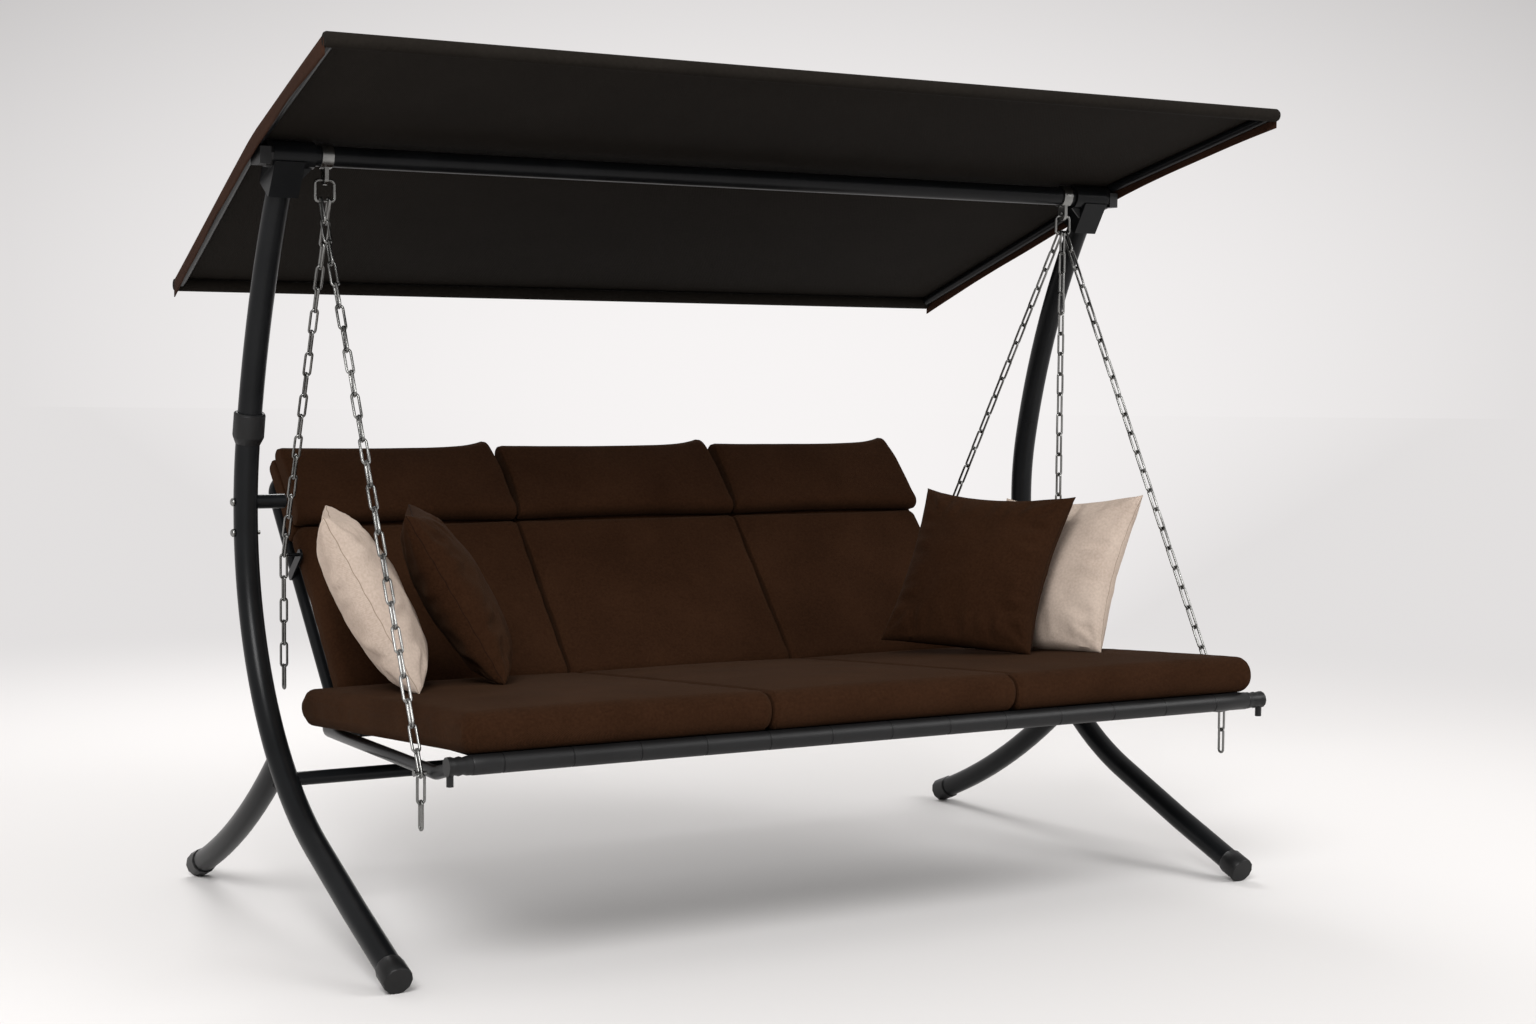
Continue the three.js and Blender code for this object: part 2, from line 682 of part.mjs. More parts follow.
// The side rails pass over the beam's ends and draw together toward the rear
const canopyTaper = Math.tan(degToRad(CANOPY_TAPER_ANGLE));
const canopyBend = point(beamEnd + CANOPY_RAIL_OUTSET, 0, CANOPY_LIFT);
const canopyFront = point(
  canopyBend.x + CANOPY_FRONT_REACH * canopyTaper,
  -CANOPY_FRONT_REACH,
  CANOPY_LIFT + CANOPY_FRONT_REACH * Math.tan(degToRad(CANOPY_FRONT_SLOPE)),
);
const canopyRear = point(
  canopyBend.x - CANOPY_REAR_REACH * canopyTaper,
  CANOPY_REAR_REACH,
  CANOPY_LIFT - CANOPY_REAR_REACH * Math.tan(degToRad(CANOPY_REAR_SLOPE)),
);
const mirrored = (place, sign) => point(sign * place.x, place.y, place.z);

const crossRail = (place, diameter, length = place.x * 2) =>
  barX(-length / 2, length / 2, place, diameter, SMALL_SIDES);

// A side rail bends over the beam's end and stops short of the hems
function sideRail(sign, diameter) {
  const bend = mirrored(canopyBend, sign);
  const stop = (place) => {
    const arm = mirrored(place, sign).sub(bend);
    return arm.setLength(arm.length() - HEM_DIAMETER / 2 - GAP).add(bend);
  };
  const path = roundedPath([stop(canopyFront), bend, stop(canopyRear)], RAIL_BEND);
  return tubeThrough(path, diameter, SMALL_SIDES);
}

// The cloth's outline across the canopy at one station: a slack sheet with turned-down edges
const COLUMN_SHARES = [-1, -0.6, -0.2, 0.2, 0.6, 1];
const STATION_SHARES = [0, 0.25, 0.5, 0.75];

function clothOutline(place, slackShare) {
  const half = place.x + RAIL_DIAMETER / 2 + GAP;
  const under = place.z + RAIL_DIAMETER / 2 + GAP;
  const hem = under - VALANCE_DEPTH + slackShare * CLOTH_SAG;
  const sheet = COLUMN_SHARES.map((share) => ({
    x: share * half,
    z: under - slackShare * CLOTH_SAG * (1 - share * share),
  }));
  const top = [...sheet].reverse().map(({ x, z }) => ({
    x: x + Math.sign(x) * (Math.abs(x) === half ? CLOTH_THICKNESS : 0),
    z: z + CLOTH_THICKNESS,
  }));
  const edge = half + CLOTH_THICKNESS;
  const outline = [
    { x: -half, z: hem }, ...sheet, { x: half, z: hem },
    { x: edge, z: hem }, ...top, { x: -edge, z: hem },
  ];
  return outline.map(({ x, z }) => [x, place.y, z]);
}

function canopySheet() {
  const stations = [
    ...STATION_SHARES.map((share) => ({ place: canopyFront.clone().lerp(canopyBend, share), share })),
    ...STATION_SHARES.map((share) => ({ place: canopyBend.clone().lerp(canopyRear, share), share })),
    { place: canopyRear, share: 1 },
  ];
  const rings = stations.map(({ place, share }) => clothOutline(place, 4 * share * (1 - share)));
  const size = rings[0].length;
  const index = [];
  for (let r = 0; r < rings.length - 1; r += 1) {
    for (let s = 0; s < size; s += 1) {
      const a = r * size + s;
      const b = r * size + ((s + 1) % size);
      index.push(a, b, b + size, a, b + size, a + size);
    }
  }
  const last = (rings.length - 1) * size;
  for (let s = 0; s < size / 2 - 1; s += 1) {
    const [a, b, c, d] = [s, s + 1, size - 2 - s, size - 1 - s];
    index.push(d, c, b, d, b, a);
    index.push(last + a, last + b, last + c, last + a, last + c, last + d);
  }
  return skin(rings.flat(2), index);
}

function canopyCloth() {
  const hemLength = (place) => (place.x + RAIL_DIAMETER / 2 + GAP + CLOTH_THICKNESS) * 2;
  const hem = (place) => crossRail(place, HEM_DIAMETER, hemLength(place));
  const bore = (place) => crossRail(place, RAIL_DIAMETER + GAP * 2, hemLength(place) + OVERRUN);
  return cut(join(canopySheet(), hem(canopyFront), hem(canopyRear)), bore(canopyFront), bore(canopyRear));
}

// A disc turning in the beam's end, with a grooved block that carries the side rail
function canopyClamp(sign) {
  const face = sign * (beamEnd + GAP);
  const axis = { y: 0, z: 0 };
  const disc = barX(face, face + sign * CLAMP_THICKNESS, axis, CLAMP_DIAMETER);
  const inner = face + (sign * CLAMP_THICKNESS) / 2;
  const outer = sign * (canopyBend.x + RAIL_DIAMETER / 4);
  const rest = block(Math.abs(outer - inner), CLAMP_BLOCK_LENGTH, CLAMP_BLOCK_HEIGHT,
    point((outer + inner) / 2, 0, CANOPY_LIFT - RAIL_DIAMETER / 2 - CLAMP_BLOCK_HEIGHT / 2));
  const shaft = barX(sign * (beamEnd - CLAMP_SHAFT_LENGTH), inner, axis, CLAMP_SHAFT_DIAMETER, SMALL_SIDES);
  return cut(join(disc, rest, shaft), sideRail(sign, RAIL_DIAMETER + GAP * 2));
}

addPart('canopy_cloth', canopyCloth(), CANOPY_CLOTH, canopy);
addPart('canopy_front_rail', crossRail(canopyFront, RAIL_DIAMETER), FRAME_PAINT, canopy);
addPart('canopy_rear_rail', crossRail(canopyRear, RAIL_DIAMETER), FRAME_PAINT, canopy);
for (const { word, sign } of SIDES) {
  addPart(`canopy_side_rail_${word}`, sideRail(sign, RAIL_DIAMETER), FRAME_PAINT, canopy);
  addPart(`canopy_clamp_${word}`, canopyClamp(sign), PLASTIC, canopy);
}

// Seat frame
const frontTube = { y: FRONT_TUBE_Y, z: FRONT_TUBE_Z };
const frontTubeEnd = FITTING_END - (FITTING_END - FITTING_START) / 3;
const rearTubePlace = { y: REAR_TUBE_Y, z: REAR_TUBE_Z };
const hinge = { y: HINGE_Y, z: HINGE_Z };
const backTubeX = BACK_TUBE_SPACING / 2;
const seatEarX = backTubeX + EAR_THICKNESS + GAP;

// A flat eye on a tube's end, from the hinge back along the tube
function ear(x, place, direction) {
  const tongue = new THREE.BoxGeometry(EAR_THICKNESS, EAR_LENGTH, EAR_HEIGHT)
    .translate(0, EAR_LENGTH / 2, 0)
    .rotateX(direction)
    .translate(x, place.y, place.z);
  const half = EAR_THICKNESS / 2;
  return join(tongue, barX(x - half, x + half, place, EAR_DIAMETER));
}

function hingeHole(x, place) {
  return barX(x - EAR_DIAMETER, x + EAR_DIAMETER, place, turningHole(HINGE_BOLT_DIAMETER), SMALL_SIDES);
}

function seatRailStations(sign) {
  const bend = point(sign * RAIL_REAR_X, RAIL_REAR_BEND_Y, RAIL_REAR_BEND_Z);
  const tip = point(sign * seatEarX, HINGE_Y, HINGE_Z);
  const arm = bend.clone().sub(tip);
  return [
    point(sign * RAIL_FRONT_X, FRONT_TUBE_Y, FRONT_TUBE_Z),
    point(sign * RAIL_FRONT_X, RAIL_FRONT_BEND_Y, RAIL_FRONT_BEND_Z),
    bend,
    arm.setLength(EAR_LENGTH * EAR_SHARE).add(tip),
  ];
}

function seatRail(sign) {
  const path = roundedPath(seatRailStations(sign), SEAT_BEND);
  return tubeThrough(path, SEAT_TUBE_DIAMETER, SMALL_SIDES);
}

// Where the chain's pin crosses a seat rail
function railAt(sign, y) {
  const [, front, rear] = seatRailStations(sign);
  return front.clone().lerp(rear, (y - front.y) / (rear.y - front.y));
}

function seatFrame() {
  const pieces = SIDES.flatMap(({ sign }) => {
    const slope = Math.atan2(RAIL_REAR_BEND_Z - HINGE_Z, RAIL_REAR_BEND_Y - HINGE_Y);
    return [seatRail(sign), ear(sign * seatEarX, hinge, slope)];
  });
  const rear = barX(-RAIL_REAR_X, RAIL_REAR_X, rearTubePlace, SEAT_TUBE_DIAMETER, SMALL_SIDES);
  const tools = SIDES.flatMap(({ sign }) => {
    const pin = railAt(sign, FRONT_PIN_Y);
    const fitting = barX(sign * (FITTING_START - OVERRUN), sign * (FITTING_END + OVERRUN), frontTube,
      FITTING_DIAMETER + GAP * 2);
    const pinHole = barX(pin.x - TUBE_DIAMETER, pin.x + TUBE_DIAMETER, pin,
      PIN_DIAMETER + GAP * 2, SMALL_SIDES);
    return [fitting, pinHole, hingeHole(sign * seatEarX, hinge)];
  });
  return cut(join(rear, ...pieces), ...tools);
}

// A ribbed corner fitting on the front tube's end, with a peg below
function cornerFitting(sign) {
  const [start, end] = [FITTING_START, FITTING_END];
  const third = (end - start) / 3;
  const [wide, neck] = [FITTING_DIAMETER / 2, FITTING_NECK / 2];
  const profile = [
    [0, start], [wide, start], [wide, start + third / 2], [neck, start + third],
    [wide, start + third * 1.5], [wide, end - third * 1.5], [neck, end - third],
    [wide, end - third / 2], [wide, end], [0, end],
  ].map(([radius, place]) => [radius, sign * place]);
  const barrel = facingOut(mergeVertices(bareGeometry(turnedX(profile, frontTube, TUBE_SIDES))));
  const x = sign * (end - FITTING_PEG_DIAMETER / 2);
  const pegTop = point(x, frontTube.y, frontTube.z);
  const pegEnd = point(x, frontTube.y, frontTube.z - FITTING_PEG_DROP);
  const peg = bar(pegTop, pegEnd, FITTING_PEG_DIAMETER, SMALL_SIDES);
  const bore = barX(sign * (start - OVERRUN), sign * (frontTubeEnd + GAP), frontTube,
    FRONT_TUBE_DIAMETER + GAP * 2, SMALL_SIDES);
  return cut(join(barrel, peg), bore);
}

function bareGeometry(geometry) {
  const bare = geometry.clone();
  bare.deleteAttribute('normal');
  bare.deleteAttribute('uv');
  return bare;
}

// The seat's sling: its front edge is sewn into loops round the front tube
const slingFrontTop = FRONT_TUBE_Z + LOOP_DIAMETER / 2;
const slingRearTop = REAR_TUBE_Z + REAR_LOOP_DIAMETER / 2;
const slingSlope = Math.atan2(slingFrontTop - slingRearTop, REAR_TUBE_Y - FRONT_TUBE_Y);
const loopEnd = FITTING_START - GAP;

function frontLoops() {
  const radius = LOOP_DIAMETER / 2;
  const notches = Array.from({ length: LOOP_COUNT }, (_, i) => FIRST_NOTCH_X + i * LOOP_PITCH);
  const profile = [
    [0, -loopEnd],
    [radius, -loopEnd],
    ...notches.flatMap((x) => [
      [radius, x - NOTCH_DEPTH], [radius - NOTCH_DEPTH, x], [radius, x + NOTCH_DEPTH],
    ]),
    [radius, loopEnd],
    [0, loopEnd],
  ];
  return turnedX(profile, frontTube);
}

function seatSling() {
  const reach = (REAR_TUBE_Y - FRONT_TUBE_Y) / Math.cos(slingSlope);
  const rearHalf = SLING_REAR_WIDTH / 2;
  const outline = new THREE.Shape([
    new THREE.Vector2(-loopEnd, 0),
    new THREE.Vector2(loopEnd, 0),
    new THREE.Vector2(rearHalf, reach),
    new THREE.Vector2(-rearHalf, reach),
  ]);
  const sheet = new THREE.ExtrudeGeometry(outline, { depth: SLING_THICKNESS, bevelEnabled: false })
    .translate(0, 0, -SLING_THICKNESS)
    .rotateX(-slingSlope)
    .translate(0, FRONT_TUBE_Y, slingFrontTop);
  const rearLoop = barX(-rearHalf, rearHalf, rearTubePlace, REAR_LOOP_DIAMETER, SMALL_SIDES);
  return cut(
    join(frontLoops(), sheet, rearLoop),
    barX(-FITTING_END, FITTING_END, frontTube, FRONT_TUBE_DIAMETER + GAP * 2, SMALL_SIDES),
    barX(-RAIL_REAR_X, RAIL_REAR_X, rearTubePlace, SEAT_TUBE_DIAMETER + GAP * 2, SMALL_SIDES),
  );
}

// A bolt through the two ears at a hinge, its head outside and its nut inside
function hingeBolt(sign) {
  const head = sign * (seatEarX + EAR_THICKNESS / 2 + GAP);
  const nut = sign * (backTubeX - EAR_THICKNESS / 2 - GAP);
  const height = sign * HINGE_BOLT_HEAD_HEIGHT;
  return join(
    barX(head, head + height, hinge, HINGE_BOLT_HEAD, SMALL_SIDES),
    barX(head + height / 2, nut - height / 2, hinge, HINGE_BOLT_DIAMETER, SMALL_SIDES),
    barX(nut, nut - height, hinge, HINGE_BOLT_HEAD, RING_SIDES),
  );
}

// Chains
const linkRadius = LINK_WIRE / 2;
const linkFlat = linkRadius * Math.cos(Math.PI / LINK_SIDES);
const chainThickness = linkRadius + linkFlat;

// One link between two bearing points, its flat side along a given direction
function chainLink(from, to, isTurned) {
  const along = to.clone().sub(from);
  const middle = from.clone().addScaledVector(along, 1 / 2);
  const half = along.length() / 2 + linkFlat - LINK_WELD / 2;
  const widest = LINK_WIDTH / 2 - linkRadius;
  const narrow = LINK_FLAT / 2;
  const outline = [
    [narrow, half], [widest, 0], [narrow, -half], [-narrow, -half], [-widest, 0], [-narrow, half],
  ];
  along.normalize();
  const sideways = point(1, 0, 0).cross(along).normalize();
  const wide = isTurned ? along.clone().cross(sideways) : sideways;
  const stations = outline.map(([across, up]) =>
    middle.clone().addScaledVector(wide, across).addScaledVector(along, up));
  return wireSkin(stations, LINK_WIRE, LINK_SIDES, true);
}

// A chain whose links bear on one another at the given points
function chain(bearings) {
  const links = [];
  for (let i = 0; i < bearings.length - 1; i += 1) {
    links.push(chainLink(bearings[i], bearings[i + 1], i % 2 === 1));
  }
  return join(...links);
}

function spaced(from, to, count) {
  return Array.from({ length: count + 1 }, (_, i) => from.clone().lerp(to, i / count));
}

const hangDown = (from, count) =>
  Array.from({ length: count }, (_, i) => from.clone().add(point(0, 0, -LINK_PITCH * (i + 1))));

const swingAxis = { y: beam.y, z: lugHole.z - (LUG_HOLE - RING_WIRE) / 2 + GAP };

function hangingRing(sign) {
  const [high, low] = [swingAxis.z, swingAxis.z - RING_HEIGHT];
  const half = RING_WIDTH / 2;
  const bevel = RING_WIRE;
  const outline = [
    [bevel - half, high], [half - bevel, high], [half, high - bevel], [half, low + bevel],
    [half - bevel, low], [bevel - half, low], [-half, low + bevel], [-half, high - bevel],
  ];
  const stations = outline.map(([x, z]) => point(sign * hookX + x, swingAxis.y, z));
  return wireSkin(stations, RING_WIRE, RING_SIDES, true);
}

// Where a chain that leaves the ring in some direction bears on its lower wire
function ringBearing(x, toward) {
  const centre = point(x, swingAxis.y, swingAxis.z - RING_HEIGHT);
  const away = toward.clone().sub(centre).normalize();
  return centre.addScaledVector(away, -(RING_WIRE / 2 + GAP * 2));
}

// The link that takes a pin or a ring lies across X, so the count is odd
const oddCount = (length) => 2 * Math.round((length / LINK_PITCH - 1) / 2) + 1;

function frontPinPlace(sign) {
  const rail = railAt(sign, FRONT_PIN_Y);
  const x = Math.abs(rail.x) + SEAT_TUBE_DIAMETER / 2 + CHAIN_CLEARANCE + LINK_WIDTH / 2;
  return point(sign * x, rail.y, rail.z);
}

function frontChain(sign) {
  const pin = frontPinPlace(sign);
  const top = ringBearing(sign * (hookX + CHAIN_SPREAD), pin);
  const beyond = pin.clone().sub(top).setLength(PIN_DIAMETER / 2 + chainThickness - GAP * 3);
  const bottom = pin.clone().add(beyond);
  const taut = spaced(top, bottom, oddCount(bottom.distanceTo(top)));
  return chain([...taut, ...hangDown(bottom, FRONT_SPARE_LINKS)]);
}

// A pin through the seat rail, its head outside the chain's link
function frontPin(sign) {
  const place = frontPinPlace(sign);
  const rail = railAt(sign, FRONT_PIN_Y);
  const outer = place.x + (sign * LINK_WIDTH) / 2;
  const inner = rail.x - sign * (SEAT_TUBE_DIAMETER / 2 + GAP * 3);
  const height = sign * PIN_HEAD_HEIGHT;
  return join(
    barX(outer, outer + height, rail, PIN_HEAD_DIAMETER, SMALL_SIDES),
    barX(outer + height / 2, inner - height / 2, rail, PIN_DIAMETER, SMALL_SIDES),
    barX(inner, inner - height, rail, PIN_HEAD_DIAMETER, RING_SIDES),
  );
}

const backSlope = degToRad(BACK_SLOPE);
const catchPlace = {
  y: HINGE_Y + CATCH_ALONG * Math.cos(backSlope) - CATCH_REACH * Math.sin(backSlope),
  z: HINGE_Z + CATCH_ALONG * Math.sin(backSlope) + CATCH_REACH * Math.cos(backSlope),
};

function rearChain(sign) {
  const corner = point(sign * CATCH_CHAIN_X, catchPlace.y, catchPlace.z);
  const top = ringBearing(sign * (hookX - CHAIN_SPREAD), corner);
  const taut = spaced(top, corner, oddCount(corner.distanceTo(top)));
  return chain([...taut, ...hangDown(corner, REAR_SPARE_LINKS)]);
}

function looseChain() {
  const low = point(hookX, swingAxis.y, 0);
  const top = ringBearing(hookX, low);
  return chain([top, ...hangDown(top, LOOSE_CHAIN_LINKS)]);
}

addPart('seat_frame', seatFrame(), FRAME_PAINT);
const frontBar = barX(-frontTubeEnd, frontTubeEnd, frontTube, FRONT_TUBE_DIAMETER, SMALL_SIDES);
addPart('seat_front_tube', frontBar, FRAME_PAINT);
addPart('seat_sling', seatSling(), SLING_CLOTH);
for (const { word, sign } of SIDES) {
  addPart(`corner_fitting_${word}`, cornerFitting(sign), PLASTIC);
  addPart(`hinge_bolt_${word}`, hingeBolt(sign), STEEL);
  addPart(`hanging_ring_${word}`, hangingRing(sign), STEEL);
  addPart(`front_chain_${word}`, frontChain(sign), STEEL);
  addPart(`front_chain_pin_${word}`, frontPin(sign), STEEL);
  addPart(`rear_chain_${word}`, rearChain(sign), STEEL);
}
addPart('loose_chain_right', looseChain(), STEEL);

// Back, in a group on the hinge and turned to its slope: local +Y runs up the back
const back = new THREE.Group();
back.position.set(0, HINGE_Y, HINGE_Z);
back.rotation.x = backSlope;
model.add(back);

const onHinge = { y: 0, z: 0 };
const lowerRailPlace = { y: LOWER_RAIL_ALONG, z: 0 };
const topRailPlace = { y: BACK_LENGTH, z: 0 };

function backHoop(diameter) {
  const foot = EAR_LENGTH * EAR_SHARE;
  const path = roundedPath([
    point(-backTubeX, foot, 0),
    point(-backTubeX, BACK_LENGTH, 0),
    point(backTubeX, BACK_LENGTH, 0),
    point(backTubeX, foot, 0),
  ], BACK_CORNER);
  return tubeThrough(path, diameter, SMALL_SIDES);
}

function backFrame() {
  const catches = SIDES.flatMap(({ sign }) => {
    const middle = sign * (backTubeX + SEAT_TUBE_DIAMETER / 2);
    const tip = sign * (CATCH_CHAIN_X - LINK_WIDTH * 0.42 - CATCH_GAP);
    const strap = block(CATCH_THICKNESS, CATCH_WIDTH, CATCH_REACH + CATCH_WIDTH,
      point(middle, CATCH_ALONG, CATCH_REACH / 2));
    const pin = barX(middle, tip, { y: CATCH_ALONG, z: CATCH_REACH }, CATCH_PIN_DIAMETER, SMALL_SIDES);
    return [strap, pin, ear(sign * backTubeX, onHinge, 0)];
  });
  return cut(
    join(
      backHoop(SEAT_TUBE_DIAMETER),
      barX(-backTubeX, backTubeX, lowerRailPlace, SEAT_TUBE_DIAMETER, SMALL_SIDES),
      ...catches,
    ),
    ...SIDES.map(({ sign }) => hingeHole(sign * backTubeX, onHinge)),
  );
}

function backSling() {
  const half = backTubeX - BACK_CORNER;
  const front = REAR_LOOP_DIAMETER / 2;
  const sheet = block(half * 2, BACK_LENGTH - LOWER_RAIL_ALONG, SLING_THICKNESS,
    point(0, (BACK_LENGTH + LOWER_RAIL_ALONG) / 2, front - SLING_THICKNESS / 2));
  const loops = [lowerRailPlace, topRailPlace].map((place) =>
    barX(-half, half, place, REAR_LOOP_DIAMETER, SMALL_SIDES));
  const bore = barX(-backTubeX, backTubeX, lowerRailPlace, SEAT_TUBE_DIAMETER + GAP * 2, SMALL_SIDES);
  return cut(join(sheet, ...loops), bore, backHoop(SEAT_TUBE_DIAMETER + GAP * 2));
}

addPart('back_frame', backFrame(), FRAME_PAINT, back);
addPart('back_sling', backSling(), SLING_CLOTH, back);

// Pads: a block with a crown, drawn-in sides and full edges
const WIDTH_SEGMENTS = 6;
const LENGTH_SHARES = [0, 0.1, 0.3, 0.5, 0.7, 0.9, 1];

function pad({ width, length, thicknessAt, crown, lengthShares = LENGTH_SHARES }) {
  const rows = lengthShares.length - 1;
  const geometry = new THREE.BoxGeometry(2, 2, 2, WIDTH_SEGMENTS, rows, 2);
  const place = geometry.attributes.position;
  for (let i = 0; i < place.count; i += 1) {
    const a = place.getX(i);
    const share = lengthShares[Math.round(((place.getY(i) + 1) / 2) * rows)];
    const b = share * 2 - 1;
    const level = place.getZ(i);
    const tuck = Math.abs(level) * PAD_EDGE;
    const halfWidth = width / 2 - PAD_DRAW_IN * (1 - b * b) - tuck;
    const halfLength = length / 2 - PAD_DRAW_IN * (1 - a * a) - tuck;
    const thick = thicknessAt(share * length);
    const dome = level > 0 ? crown * (1 - a * a) * (1 - b * b) : 0;
    place.setXYZ(i, a * halfWidth, length / 2 + b * halfLength, (thick * (level + 1)) / 2 + dome);
  }
  return mergeVertices(bareGeometry(geometry));
}

function padRow(sign, total) {
  const joint = PAD_JOINT_SPACING / 2;
  if (sign === 0) return { width: PAD_JOINT_SPACING - PAD_GAP, x: 0 };
  const start = joint + PAD_GAP / 2;
  const end = total / 2;
  return { width: end - start, x: (sign * (start + end)) / 2 };
}

// A seat pad ends short of the hinge, clear of the back
const seatPadDepth = (HINGE_Y - FRONT_TUBE_Y) / Math.cos(slingSlope) + SEAT_PAD_OVERHANG - SEAT_PAD_REAR_GAP;

const seatPads = new THREE.Group();
seatPads.position.set(0, FRONT_TUBE_Y, slingFrontTop);
seatPads.rotation.x = -slingSlope;
model.add(seatPads);

const headrestLength = BACK_PAD_START + BACK_PAD_LENGTH - HEADREST_START;
const slingFace = REAR_LOOP_DIAMETER / 2 + GAP;
const thinPad = BACK_PAD_THICKNESS + HEADREST_RAISE - HEADREST_THICKNESS - GAP;
const stepShare = (HEADREST_START - BACK_PAD_START) / BACK_PAD_LENGTH;
const BACK_SHARES = [0, 0.08, 0.22, 0.36, 0.5, 0.98, 1].map((share) => share * stepShare);

for (const { word, sign } of PLACES) {
  const seatRow = padRow(sign, SEAT_PAD_TOTAL);
  const seatPad = pad({
    width: seatRow.width,
    length: seatPadDepth,
    thicknessAt: () => SEAT_PAD_THICKNESS,
    crown: PAD_CROWN,
  });
  addPart(`seat_pad_${word}`, seatPad, BROWN, seatPads).position.set(seatRow.x, -SEAT_PAD_OVERHANG, GAP);

  const backRow = padRow(sign, BACK_PAD_TOTAL);
  const backPad = pad({
    width: backRow.width,
    length: BACK_PAD_LENGTH,
    thicknessAt: (along) => (along >= stepShare * BACK_PAD_LENGTH - GAP ? thinPad : BACK_PAD_THICKNESS),
    crown: 0,
    lengthShares: [...BACK_SHARES, (stepShare + 1) / 2, 1],
  });
  addPart(`back_pad_${word}`, backPad, BROWN, back).position.set(backRow.x, BACK_PAD_START, slingFace);

  const headrest = pad({
    width: backRow.width,
    length: headrestLength - GAP,
    thicknessAt: () => HEADREST_THICKNESS,
    crown: HEADREST_CROWN,
    lengthShares: [0, 0.15, 0.5, 0.85, 1],
  });
  addPart(`headrest_${word}`, headrest, BROWN, back)
    .position.set(backRow.x, HEADREST_START + GAP, slingFace + thinPad + GAP);
}

// Loose cushions: full in the middle, thin at the seam, with eared corners
const CUSHION_SEGMENTS = 8;

function looseCushion() {
  const geometry = new THREE.BoxGeometry(2, 2, 2, CUSHION_SEGMENTS, CUSHION_SEGMENTS, 1);
  const place = geometry.attributes.position;
  for (let i = 0; i < place.count; i += 1) {
    const [a, b, side] = [place.getX(i), place.getY(i), place.getZ(i)];
    const full = ((1 - a * a) * (1 - b * b)) ** 0.55;
    const half = CUSHION_SIZE / 2;
    const swell = CUSHION_RIM / 2 + ((CUSHION_THICKNESS - CUSHION_RIM) / 2) * full;
    place.setXYZ(
      i,
      a * (half - CUSHION_DRAW_IN * (1 - b * b)),
      b * (half - CUSHION_DRAW_IN * (1 - a * a)),
      side * swell,
    );
  }
  return mergeVertices(bareGeometry(geometry));
}

// Each cushion's middle in shares of the seat pads' width and depth, and over their top in shares of its
// own size, and how far it is turned, leans back and is rolled in its plane
const cushionPlaces = [
  {
    name: 'cream_cushion_left', finish: CREAM, atShares: [-0.45652, -0.02304, 0.37974],
    turn: 69, lean: 28, roll: 0,
  },
  {
    name: 'brown_cushion_left', finish: BROWN, atShares: [-0.34783, 0.02304, 0.37615],
    turn: 67, lean: 30, roll: 0,
  },
  {
    name: 'brown_cushion_right', finish: BROWN, atShares: [0.31793, -0.13825, 0.41154],
    turn: -65.5, lean: 29, roll: -1,
  },
  {
    name: 'cream_cushion_right', finish: CREAM, atShares: [0.4212, -0.17281, 0.37769],
    turn: -76, lean: 28, roll: 4,
  },
];
const cushionFloor = slingFrontTop + SEAT_PAD_THICKNESS;

for (const { name, finish, atShares, turn, lean, roll } of cushionPlaces) {
  const [across, deep, lift] = atShares;
  const cushion = addPart(name, looseCushion(), finish);
  cushion.rotation.order = 'ZXY';
  cushion.rotation.set(degToRad(90 - lean), 0, degToRad(turn));
  cushion.geometry.rotateZ(degToRad(roll));
  cushion.position.set(across * SEAT_PAD_TOTAL, deep * seatPadDepth, cushionFloor + lift * CUSHION_SIZE);
}

// The frame's origin is under the middle of the bounding box
const box = new THREE.Box3().setFromObject(model);
model.position.y = -(box.min.y + box.max.y) / 2;

export default model;
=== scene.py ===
"""Dresses the garden swing: tubes, chains, canopy, pads and cushions, with a plain studio round it."""
import json
import logging
import math
from dataclasses import dataclass, field
from enum import Enum
from itertools import count, pairwise

import bmesh
import bpy
from mathutils import Matrix, Vector, noise

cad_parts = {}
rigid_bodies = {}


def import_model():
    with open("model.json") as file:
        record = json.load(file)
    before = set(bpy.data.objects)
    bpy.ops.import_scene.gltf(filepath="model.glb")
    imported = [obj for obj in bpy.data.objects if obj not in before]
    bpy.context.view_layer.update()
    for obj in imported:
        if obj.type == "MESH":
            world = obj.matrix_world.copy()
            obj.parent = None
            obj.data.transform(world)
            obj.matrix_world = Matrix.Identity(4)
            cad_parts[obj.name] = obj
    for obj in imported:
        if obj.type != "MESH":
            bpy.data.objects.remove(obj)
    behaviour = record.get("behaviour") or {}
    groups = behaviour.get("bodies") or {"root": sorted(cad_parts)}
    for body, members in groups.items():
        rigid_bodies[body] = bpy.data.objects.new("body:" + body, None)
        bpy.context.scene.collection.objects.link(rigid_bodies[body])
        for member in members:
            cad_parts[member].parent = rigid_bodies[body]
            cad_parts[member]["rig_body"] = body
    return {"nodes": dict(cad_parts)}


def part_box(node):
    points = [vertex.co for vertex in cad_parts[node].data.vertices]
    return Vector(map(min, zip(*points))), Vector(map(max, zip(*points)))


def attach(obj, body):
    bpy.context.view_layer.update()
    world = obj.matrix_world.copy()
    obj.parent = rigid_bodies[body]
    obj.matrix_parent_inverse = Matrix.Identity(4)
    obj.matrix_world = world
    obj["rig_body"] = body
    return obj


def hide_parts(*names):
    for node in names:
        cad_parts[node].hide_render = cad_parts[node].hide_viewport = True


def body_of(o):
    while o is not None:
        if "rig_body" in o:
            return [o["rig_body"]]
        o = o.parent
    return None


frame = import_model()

LOG = logging.getLogger("garden_swing")
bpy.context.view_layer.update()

# Where the model's own Y zero lies in the row frame, in metres
SHIFT_Y = -0.0246919
X_AXIS = Vector((1, 0, 0))
Y_AXIS = Vector((0, 1, 0))
Z_AXIS = Vector((0, 0, 1))

